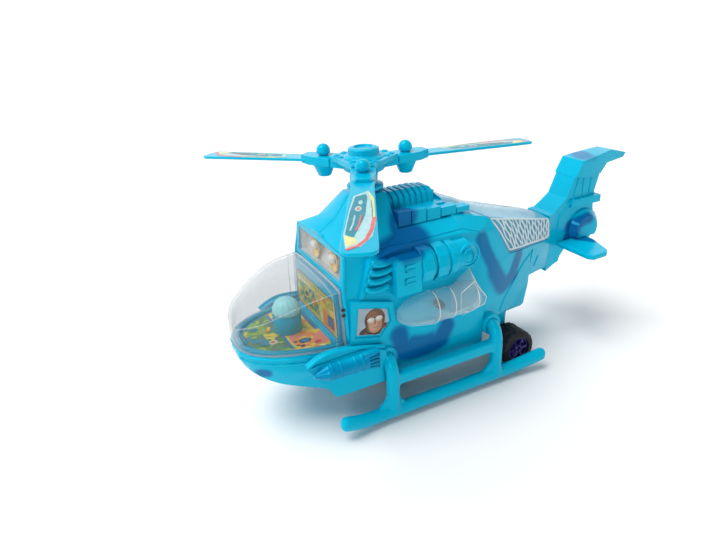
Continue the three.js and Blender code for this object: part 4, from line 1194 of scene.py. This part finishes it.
BLADE_FIELD = [
    (48, 2.6), (58, 5.2), (84, 5.9), (96, 4.8), (105, 0.5), (106, -5), (94, -6.2), (70, -5), (54, -3.6)
]
BLADE_PRINT = [
    (BLADE_FIELD, PALE),
    ([(52, 1.6), (56, 2.4), (76, 1.8), (97, -2.2), (94, -5.6), (72, -4.6), (55, -2.8)], TEAL),
    ([(48, 2.6), (57, 5.2), (84, 5.9), (80, 4.4), (58, 3.6)], LEMON),
    ([(95, -6.0), (104.5, -4.8), (102, -0.8), (97, -1.8)], LEMON),
    (ribbon([(107, -4.6), (104, -0.4), (99, 2.4), (90, 4.4), (78, 5.4)], 1.5), CORAL),
    (oval(62, -0.4, 2.4, 0.9), PALE),
    (oval(69, -1.2, 2.8, 1.4), PALE),
    (oval(69, -1.2, 1.6, 0.7), CORAL),
    (ribbon([(76, -2.4), (84, -2.8), (91, -3.8)], 0.7), PALE),
    (ribbon([(76, 0.2), (84, -0.4), (91, -1.4)], 0.7), CORAL),
    (ribbon([(60, 4.0), (70, 4.5), (78, 4.6)], 0.4), TEAL),
]


def blade_turn(i):
    """Turn about the rotor axis that brings the x axis onto a blade."""
    turn = Matrix.Rotation(math.radians(BLADE_REST + 120 * i), 4, "Z")
    return Matrix.Translation((ROTOR_X, 0, 0)) @ turn


def make_rotor_hub():
    """Turned hub, and the web and bosses that carry the blades."""
    bm = bmesh.new()
    profile = [
        (1.7, 118.7), (9.3, 118.7), (9.6, 119), (9.6, 120.4), (9.2, 120.8), (6.8, 121.4), (6.6, 122.4),
        (7.2, 127.2), (10.2, 128.4), (10.6, 128.9), (10.6, 135.0), (10.2, 135.5), (8.3, 136.4), (8.0, 136.8),
        (8.0, 139.2), (7.6, 139.7), (5.8, 140.15), (5.0, 140.1), (4.6, 139.2), (0, 139.2), (0, 133.2),
        (1.7, 133.1), (1.7, 118.7),
    ]
    lathe(bm, profile, (ROTOR_X, 0, 0), "z", 64)
    soften(stand_in("rotor_hub", bm), 0.15, 2, 35)
    bm = bmesh.new()
    screw = [(0, 134.3), (1.7, 134.3), (1.7, 135.1), (1.3, 135.5), (0.6, 135.5), (0.5, 135), (0, 135)]
    web = []
    for turn in map(blade_turn, range(3)):
        block(bm, (7, -5.9, 128.9), (17.1, 5.9, 134.5), turn)
        for reach, across in ((14.2, -3.4), (14.2, 3.4), (10.6, -5.6), (10.6, 5.6), (9.9, 0)):
            lathe(bm, screw, turn @ Vector((reach, across, 0)), "z", 24)
        for reach, across in ((16.8, -5.6), (16.8, 5.6), (11.6, 7.4), (9.4, 9.6)):
            web.append((turn @ Vector((reach, across, 0))).xy)
    plate(bm, web, 132.2, 134.9)
    arms = finish_mesh("rotor_hub_arms", bm, "main_rotor", cyan)
    soften(arms, 0.5, 3, 35)


def make_blade(letter, turn):
    """Blade that droops from its level root, with its ball knob and print."""
    bend, tip, corner = 30, ROTOR_RADIUS - 0.15, 4
    droop = (
        turn
        @ Matrix.Translation((bend, 0, BLADE_Z))
        @ Matrix.Rotation(math.radians(BLADE_DROOP), 4, "Y")
        @ Matrix.Translation((-bend, 0, 0))
    )
    bm = bmesh.new()
    outline = [(bend, -5.3), (44, -5.5), (tip - 6, -7.1)]
    for a in (math.pi / 2 * k / 6 for k in range(1, 7)):
        outline.append((tip - corner + corner * math.sin(a), -3.1 - corner * math.cos(a)))
    outline += [(x, -y) for x, y in reversed(outline)]
    plate(bm, outline, -0.75, 0.75, droop)
    root = [(17.6, -6.1), (31, -6.1), (37.6, -3.3), (37.6, 3.3), (31, 6.1), (17.6, 6.1)]
    plate(bm, root, 129.1, 133.7, turn)
    soften(stand_in(f"blade_{letter}", bm), 0.4, 3, 25)
    bm = bmesh.new()
    knob = [
        (0, 122.8), (3.2, 122.8), (3.6, 123.1), (5.9, 128.8), (5.9, 129.2), (2.4, 129.3), (2.4, 133.4),
        (2.6, 133.6), (2.3, 134.0), (2.6, 134.2), (3.4, 134.8), (3.75, 135.9), (3.6, 137.1), (3.0, 138.3),
        (2.0, 139.3), (0, 139.9),
    ]
    lathe(bm, knob, turn @ Vector((KNOB_RADIUS, 0, 0)), "z", 40)
    finish_mesh(f"blade_{letter}_knob", bm, "main_rotor", cyan)
    face = droop @ Matrix.Translation((0, 0, 0.78))
    sticker(f"blade_{letter}_print", "main_rotor", face, BLADE_PRINT)


def make_rotor():
    """Hub and its three blades."""
    make_rotor_hub()
    for i, letter in enumerate("abc"):
        make_blade(letter, blade_turn(i))


# ---- wheels and running gear -------------------------------------------------


def make_tyre(side, inner, width):
    """Rear tyre with three rows of tread blocks, the middle row half a block on."""
    radius = 11.35
    steps = [
        (7.4, 0), (9.4, 0), (10.6, 0.03), (radius, 0.09), (radius, 0.26), (10.8, 0.28), (10.8, 0.33),
        (radius, 0.35), (radius, 0.65), (10.8, 0.67), (10.8, 0.72), (radius, 0.74), (radius, 0.91),
        (10.6, 0.97), (9.4, 1), (9.0, 0.985), (8.4, 1), (7.4, 1), (7.4, 0),
    ]
    middle, rows = (7, 8), (3, 4, 7, 8, 11, 12)

    def tread(i, k):
        return -0.45 if i in rows and (k + (3 if i in middle else 0)) % 6 < 2 else 0

    bm = bmesh.new()
    lathe(bm, [(r, inner + width * t) for r, t in steps], (REAR_AXLE.x, 0, REAR_AXLE.z), "y", 108, tread)
    soften(stand_in(f"tyre_{side}", bm), 0.12, 2, 30)


def make_rear_wheels():
    """Treaded tyres on six-spoke hubs, and their axle."""
    for side, sign in SIDES:
        low, high = box_mm(f"tyre_{side}")
        inner, outer = (high.y, low.y) if sign < 0 else (low.y, high.y)
        make_tyre(side, inner, outer - inner)
        face, back = outer - sign, inner + sign
        steps = [(6.5, 0), (6.1, -1.6), (2.9, -1.9), (2.7, 0.2), (2.2, 0.6), (1.4, 0.6)]
        hub = [(1.4, back), (7.2, back), (7.2, face)]
        hub += [(r, face + sign * step) for r, step in steps] + [(1.4, back)]
        bm = bmesh.new()
        lathe(bm, hub, (REAR_AXLE.x, 0, REAR_AXLE.z), "y", 60)
        near, far = sorted((face - sign * 2.2, face - sign * 0.1))
        for a in turns(6):
            spin = Matrix.Translation((REAR_AXLE.x, 0, REAR_AXLE.z)) @ Matrix.Rotation(a, 4, "Y")
            block(bm, (2.4, near, -0.75), (6.6, far, 0.75), spin)
        soften(stand_in(f"wheel_hub_{side}", bm), 0.2, 2, 30)
    refine("rear_axle", width=0.2)


def make_drive_unit():
    """Swivelling turret under the hull, with two knurled wheels."""
    refine("drive_turret", width=0.4)
    refine("drive_gearcase", width=0.5)
    refine("drive_axle", width=0.2)
    for side, _ in SIDES:
        low, high = box_mm(f"drive_wheel_{side}")
        radius = (high.z - low.z) / 2 - 0.02
        half = [(1.35, 0), (6, 0), (6.4, 0.1), (8.6, 0.1), (9, 0), (radius - 0.5, 0), (radius, 0.1)]
        steps = half + [(r, 1 - t) for r, t in reversed(half)] + half[:1]

        def knurl(i, k):
            return -0.4 if i in (6, 7) and k % 4 < 2 else 0

        bm = bmesh.new()
        span = high.y - low.y
        lathe(bm, [(r, low.y + span * t) for r, t in steps], (DRIVE_AXLE.x, 0, DRIVE_AXLE.z), "y", 96, knurl)
        soften(stand_in(f"drive_wheel_{side}", bm), 0.1, 2, 30)


def make_underside():
    """Grip ridges of the battery door, and black discs of painted shade for the speaker holes."""
    door_low, door_high = box_mm("battery_door")
    bm = bmesh.new()
    x = (door_low.x + door_high.x) / 2
    z = door_low.z
    for k in range(5):
        block(bm, (x - 8 + k * 4, -9, z - 0.02), (x - 6.4 + k * 4, 9, z + 0.5))
    ridges = finish_mesh("door_grip", bm, "airframe", cyan, smooth=False)
    soften(ridges, 0.2)
    middle = middle_of("speaker")
    # the speaker holes are not cut: thin black discs on the belly paint the shade inside each hole
    hole = [(0, BELLY_Z - 0.01), (0.9, BELLY_Z - 0.01), (0.9, BELLY_Z + 0.3), (0, BELLY_Z + 0.3)]
    bm = bmesh.new()
    for ring, count in ((0, 1), (3.2, 6), (6.4, 12)):
        for x, y in oval(middle.x, middle.y, ring, ring, count):
            lathe(bm, hole, (x, y, 0), "z", 16)
    finish_mesh("speaker_hole_shade", bm, "airframe", black_plastic, smooth=False)


HIDDEN_WORKS = (
    "shell_screw_1 shell_screw_2 shell_screw_3 shell_screw_4 door_screw rotor_shaft rotor_gear motor_pinion "
    "rotor_motor gearbox_frame battery_tray cell_1 cell_2 cell_3 contact_left contact_right circuit_board "
    "speaker power_switch switch_body"
).split()


def make_inside():
    """Works inside the hull, with rounded edges."""
    for node in HIDDEN_WORKS:
        refine(node, width=0.1 if "contact" in node or "pinion" in node else 0.2)


# ---- stage -------------------------------------------------------------------


def make_stage():
    """Pale paper swept up behind the toy, in metres, under two broad lights."""
    bpy.context.scene.view_settings.view_transform = "Standard"
    back = Vector((0.434, 0.901, 0))
    across = Vector((0.901, -0.434, 0))
    rise = [math.radians(6 * k) for k in range(16)]
    curve = [(1.5 + 2.5 * math.sin(a), 2.5 - 2.5 * math.cos(a)) for a in rise]
    profile = [(-40, 0), (1.5, 0), *curve, (4, 6)]
    bm = bmesh.new()
    ends = (-across * 40, across * 40)
    lines = [[bm.verts.new(back * d + end + Vector((0, 0, h))) for end in ends] for d, h in profile]
    bridge(bm, lines, 1)
    bmesh.ops.remove_doubles(bm, verts=bm.verts, dist=1e-4)
    mesh = bpy.data.meshes.new("floor")
    bm.to_mesh(mesh)
    bm.free()
    mesh.polygons.foreach_set("use_smooth", [True] * len(mesh.polygons))
    floor = bpy.data.objects.new("floor", mesh)
    paper = plain("floor_paper", (0.90, 0.90, 0.90), (0.89, 0.89, 0.89), (0.8, 0.9), 3, bump=0.02)
    mesh.materials.append(paper)
    bpy.context.scene.collection.objects.link(floor)
    world = bpy.data.worlds.new("studio")
    world.use_nodes = True
    sky = world.node_tree.nodes["Background"].inputs
    sky["Color"].default_value = (1, 1, 1, 1)
    sky["Strength"].default_value = 0.30
    bpy.context.scene.world = world
    lights = (("top_light", (-0.45, 0.1, 1.0), 45, 2.8), ("side_light", (-0.7, -1.0, 0.45), 12, 0.45))
    for name, toward, spread, power in lights:
        data = bpy.data.lights.new(name, "SUN")
        data.angle = math.radians(spread)
        data.energy = power
        lamp = bpy.data.objects.new(name, data)
        lamp.rotation_mode = "QUATERNION"
        lamp.rotation_quaternion = Vector(toward).to_track_quat("Z", "Y")
        bpy.context.scene.collection.objects.link(lamp)


make_camera()
make_hull()
make_nose_bands()
make_flank_details()
make_canopy()
make_cockpit()
make_lamps()
make_pilot_picture()
make_rear_cover()
make_missiles()
make_skids()
make_rotor()
make_rear_wheels()
make_drive_unit()
make_underside()
make_inside()
make_stage()
